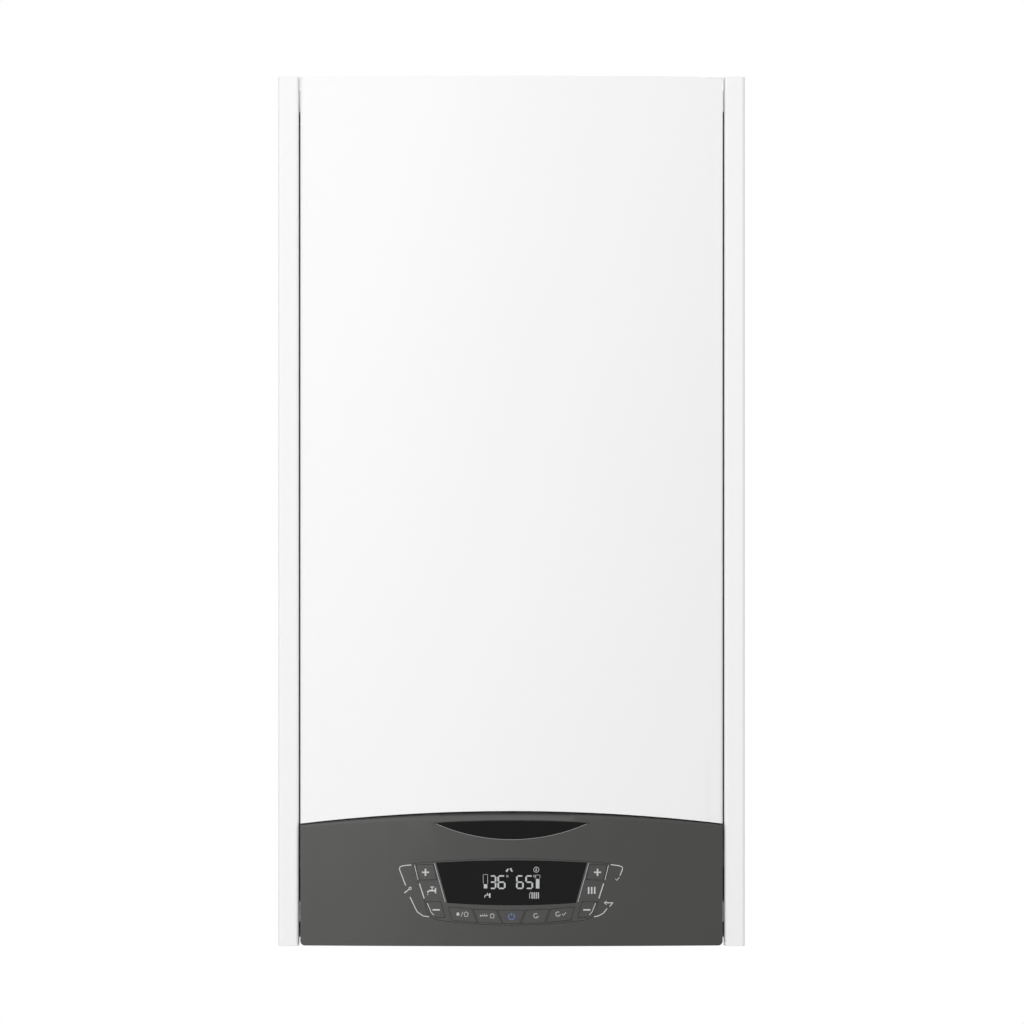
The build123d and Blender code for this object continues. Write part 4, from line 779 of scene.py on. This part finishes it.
nuts = {  # place of the lower end, in mm from the middle, the wall and the casing's lower edge
    "flow": {"place": (-140, -116, 149.5), "flats": 30, "height": 15},
    "return": {"place": (140, -116, 239.5), "flats": 30, "height": 15},
    "gasLow": {"place": (0, -62, 147.5), "flats": 28, "height": 15},
    "gasHigh": {"place": (0, -116, 239.5), "flats": 27, "height": 14},
}
grommet = {  # the pipes' places and radii, and the rings round them
    "pipes": ((-140, -116, 9.0), (140, -116, 9.0), (0, -116, 8.0)), "height": 295.5,
    "gap": 0.1, "flat": 3.4, "wide": 4.6, "bevel": 1.2, "thick": 3.2,
}


def fitPipes():
    unions = []
    for nut in nuts.values():
        x, y, low = nut["place"]
        unions.append(placed(modelNut(nut["flats"], nut["height"]), (x, y, heightOf(low))))
    joined("pipe_nuts", unions, chassis, "brass")
    rings = []
    for x, y, radius in grommet["pipes"]:
        inner, outer, thick = radius + grommet["gap"], radius + grommet["wide"], grommet["thick"]
        profile = [(inner, 0), (radius + grommet["flat"], 0), (outer, grommet["bevel"]), (outer, thick)]
        rings.append(spun(profile + [(inner, thick)], (x, y, heightOf(grommet["height"]))))
    joined("pipe_grommets", rings, chassis, "rubber_seal")


motor = {  # fins from one radius to another, at these degrees from the right
    "across": 110, "height": 158, "front": -177.5, "rear": -139.5,
    "finFrom": 36.5, "finTo": 40.6, "finWidth": 1.8, "finRound": 0.5, "finSteps": 2,
    "turns": (-60, -45, -30, -15, 0, 15, 30, 45, 135, 150, 165, 180, 195), "capFace": -186,
    "cap": [(15.5, -0.5), (15.5, 1.0), (16.5, 1.6), (28.5, 1.6), (30.5, 0.6), (31.0, -0.5)],
}


def finMotor():
    height = heightOf(motor["height"])
    centre = Vector((mm(motor["across"]), 0, mm(height)))
    middle = mm((motor["rear"] + motor["front"]) / 2)
    reach = mm((motor["finFrom"] + motor["finTo"]) / 2)
    size = (motor["finTo"] - motor["finFrom"], motor["rear"] - motor["front"], motor["finWidth"])
    fin = addPrimitive("cube", size=1, location=(reach, middle, 0), scale=[mm(side) for side in size])
    addModifier(fin, "BEVEL", width=mm(motor["finRound"]), segments=motor["finSteps"])
    fins = []
    for turn in motor["turns"]:
        copy = copyOf(fin)
        copy.data.transform(Matrix.Rotation(-math.radians(turn), 4, "Y"))
        copy.data.transform(Matrix.Translation(centre))
        fins.append(copy)
    bpy.data.objects.remove(fin)
    joined("pump_fins", fins, chassis, "motor_black")
    capPlace = (motor["across"], motor["capFace"], height)
    joined("pump_cap_ring", [spun(motor["cap"], capPlace, towardsRoom)], chassis, "motor_black")


inlet = {
    "across": (-115, 115), "y": -190, "screwRing": 30, "screwTurns": (30, 150, 270), "steps": 48,
    "ring": [(36.0, -0.3), (36.0, 0.5), (36.6, 1.0), (40.4, 1.0), (41.0, 0.5), (41.0, -0.3)],
}


def dressInlets():
    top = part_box("air_inlet_covers")[1][2] / millimetre
    rings = [spun(inlet["ring"], (x, inlet["y"], top), upwards, inlet["steps"]) for x in inlet["across"]]
    joined("inlet_rings", rings, chassis, slotOf["air_inlet_covers"])
    places = []
    for across in inlet["across"]:
        for turn in inlet["screwTurns"]:
            places.append((*arc(across, inlet["y"], inlet["screwRing"], turn, turn, 1)[0], top))
    copies("inlet_screws", modelScrew(), places, upwards, chassis, "stainless")


back = {
    "face": -10.0, "bead": 12, "flatness": 0.42, "across": 104, "low": 130, "high": 600,
    "crossHalf": 76, "cross": (170, 600),
}


def beadBack():  # stiffening beads pressed into the rear frame
    columns, half = (-back["across"], back["across"]), back["crossHalf"]
    beads = [ridge((x, back["low"]), (x, back["high"]), back["bead"]) for x in columns]
    beads += [ridge((-half, rise), (half, rise), back["bead"]) for rise in back["cross"]]
    drawStrokes("rear_beads", beads, onUpright(mm(back["face"]), 1), chassis, "galvanised_steel",
                flatness=back["flatness"])


knob = {  # head is the arrow's two barbs, from the end of its bow
    "across": 130, "height": 60, "reach": 7.0, "from": 200, "to": -20,
    "head": [(-2.4, 0), (-0.2, -3.0), (1.6, 0)], "width": 1.4, "flatness": 0.9,
}


def markKnob():  # raised arrow that shows which way the relief knob turns
    across, height = knob["across"], knob["height"]
    bow = (arc(across, height, knob["reach"], knob["from"], knob["to"]), knob["width"])
    head = moved([(knob["head"], knob["width"])], across + knob["reach"], height)
    face = onUpright(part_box("relief_knob")[0][1], -1)
    drawStrokes("relief_knob_arrow", [bow] + head, face, bodyOf["relief_knob"], "knob_red",
                flatness=knob["flatness"])


plug = {
    "size": (26, 11, 12), "place": (0, -155, 181.5), "wall": 1.3, "depth": 6.0, "facing": 0.9,
    "round": 0.3, "steps": 2,
}


def fitValvePlug():  # open socket for the gas valve's lead
    x, y, height = plug["place"]
    place = (mm(x), mm(y), mm(heightOf(height)))
    socket = addPrimitive("cube", size=1, location=place, scale=[mm(side) for side in plug["size"]])
    editAll(socket)
    bpy.ops.mesh.select_mode(type="FACE")
    bpy.ops.mesh.select_all(action="DESELECT")
    leaveEdit()
    for face in socket.data.polygons:
        face.select = face.normal.dot(Vector(towardsRoom)) > plug["facing"]
    bpy.ops.object.mode_set(mode="EDIT")
    bpy.ops.mesh.inset(thickness=mm(plug["wall"]))
    bpy.ops.mesh.extrude_region_move(TRANSFORM_OT_translate={"value": (0, mm(plug["depth"]), 0)})
    leaveEdit()
    addModifier(socket, "BEVEL", width=mm(plug["round"]), segments=plug["steps"], limit_method="ANGLE")
    joined("gas_valve_socket", [socket], chassis, "moulded_black")


dressCover()
cutThreads()
fitPipes()
finMotor()
dressInlets()
beadBack()
markKnob()
fitValvePlug()
print("inner pieces fitted")


view = {  # metres, and the casing's middle and foot in pixels of the picture
    "distance": 9.0, "sensor": 36.0, "pixelSize": 0.000857, "frameSize": 1024,
    "middleColumn": 511.5, "casingFoot": 946, "casingFootHeight": -0.700, "farthest": 60,
}


def placeCamera():
    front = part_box("side_panel_left")[0][1]
    middle, pixel = view["frameSize"] / 2, view["pixelSize"]
    across = (middle - view["middleColumn"]) * pixel
    upward = view["casingFootHeight"] + (view["casingFoot"] - middle) * pixel
    place = (across, front - view["distance"], upward)
    bpy.ops.object.camera_add(location=place, rotation=(math.pi / 2, 0, 0))
    camera = bpy.context.object
    camera.data.sensor_width = view["sensor"]
    camera.data.lens = view["sensor"] * view["distance"] / (pixel * view["frameSize"])
    camera.data.clip_end = view["farthest"]
    bpy.context.scene.camera = camera


lamps = {  # metres and watts
    "left_softbox": {"place": (-1.4, -3.3, 0.3), "aim": (0, -0.2, -0.45), "size": (1.7, 2.3), "power": 34},
    "top_softbox": {"place": (0.1, -2.15, 2.1), "aim": (0, -0.2, -0.5), "size": (2.2, 1.8), "power": 20},
}


def placeLamps():
    for name, facts in lamps.items():
        bpy.ops.object.light_add(type="AREA", location=facts["place"])
        lamp = bpy.context.object
        lamp.name = name
        lamp.data.shape = "RECTANGLE"
        lamp.data.size, lamp.data.size_y = facts["size"]
        lamp.data.energy = facts["power"]
        way = Vector(facts["aim"]) - Vector(facts["place"])
        lamp.rotation_euler = way.to_track_quat("-Z", "Y").to_euler()


surroundings = {"colour": (1, 1, 1, 1), "lightStrength": 0.60}


def lightWorld():  # even light from all round, seen as plain white
    world = bpy.data.worlds.new("studio")
    bpy.context.scene.world = world
    world.use_nodes = True
    tree = world.node_tree
    background = tree.nodes["Background"]
    background.inputs["Color"].default_value = surroundings["colour"]
    strength = surroundings["lightStrength"]
    level = addNode(tree, "Mix", {"data_type": "FLOAT"}, i0=seenPlainly(tree), i2=strength, i3=1.0)
    tree.links.new(level.outputs[0], background.inputs["Strength"])


floorFacts = {  # metres; it fades to white between two distances from the middle
    "height": -0.9, "span": 40.0, "fadeFrom": 1.2, "fadeTo": 2.1,
    "colour": (0.86, 0.86, 0.86, 1), "rough": 0.9, "white": (1, 1, 1, 1),
}


def layFloor():  # pale floor that fades to the white of the backdrop, and is open from below
    bpy.ops.mesh.primitive_plane_add(size=floorFacts["span"], location=(0, 0, floorFacts["height"]))
    floor = bpy.context.object
    floor.name = "floor"
    material = bpy.data.materials.new("floor")
    material.use_nodes = True
    tree = material.node_tree
    shader = tree.nodes["Principled BSDF"]
    shader.inputs["Base Color"].default_value = floorFacts["colour"]
    shader.inputs["Roughness"].default_value = floorFacts["rough"]
    place = addNode(tree, "TexCoord").outputs["Object"]
    reach = addNode(tree, "VectorMath", {"operation": "LENGTH"}, i0=place)
    fade = addNode(tree, "MapRange", {"interpolation_type": "SMOOTHSTEP"}, i0=reach.outputs["Value"],
                   i1=floorFacts["fadeFrom"], i2=floorFacts["fadeTo"])
    share = addNode(tree, "Math", {"operation": "MULTIPLY"}, i0=seenPlainly(tree), i1=fade.outputs[0])
    white = addNode(tree, "Emission", Color=floorFacts["white"], Strength=1.0)
    pale = addNode(tree, "MixShader", i0=share.outputs[0], i1=shader.outputs[0], i2=white.outputs[0])
    below = addNode(tree, "NewGeometry").outputs["Backfacing"]
    clear = addNode(tree, "BsdfTransparent")
    whole = addNode(tree, "MixShader", i0=below, i1=pale.outputs[0], i2=clear.outputs[0])
    tree.links.new(whole.outputs[0], tree.nodes["Material Output"].inputs["Surface"])
    floor.data.materials.append(material)


placeCamera()
placeLamps()
lightWorld()
layFloor()
bpy.context.scene.view_settings.view_transform = "Standard"
print("camera and light placed")
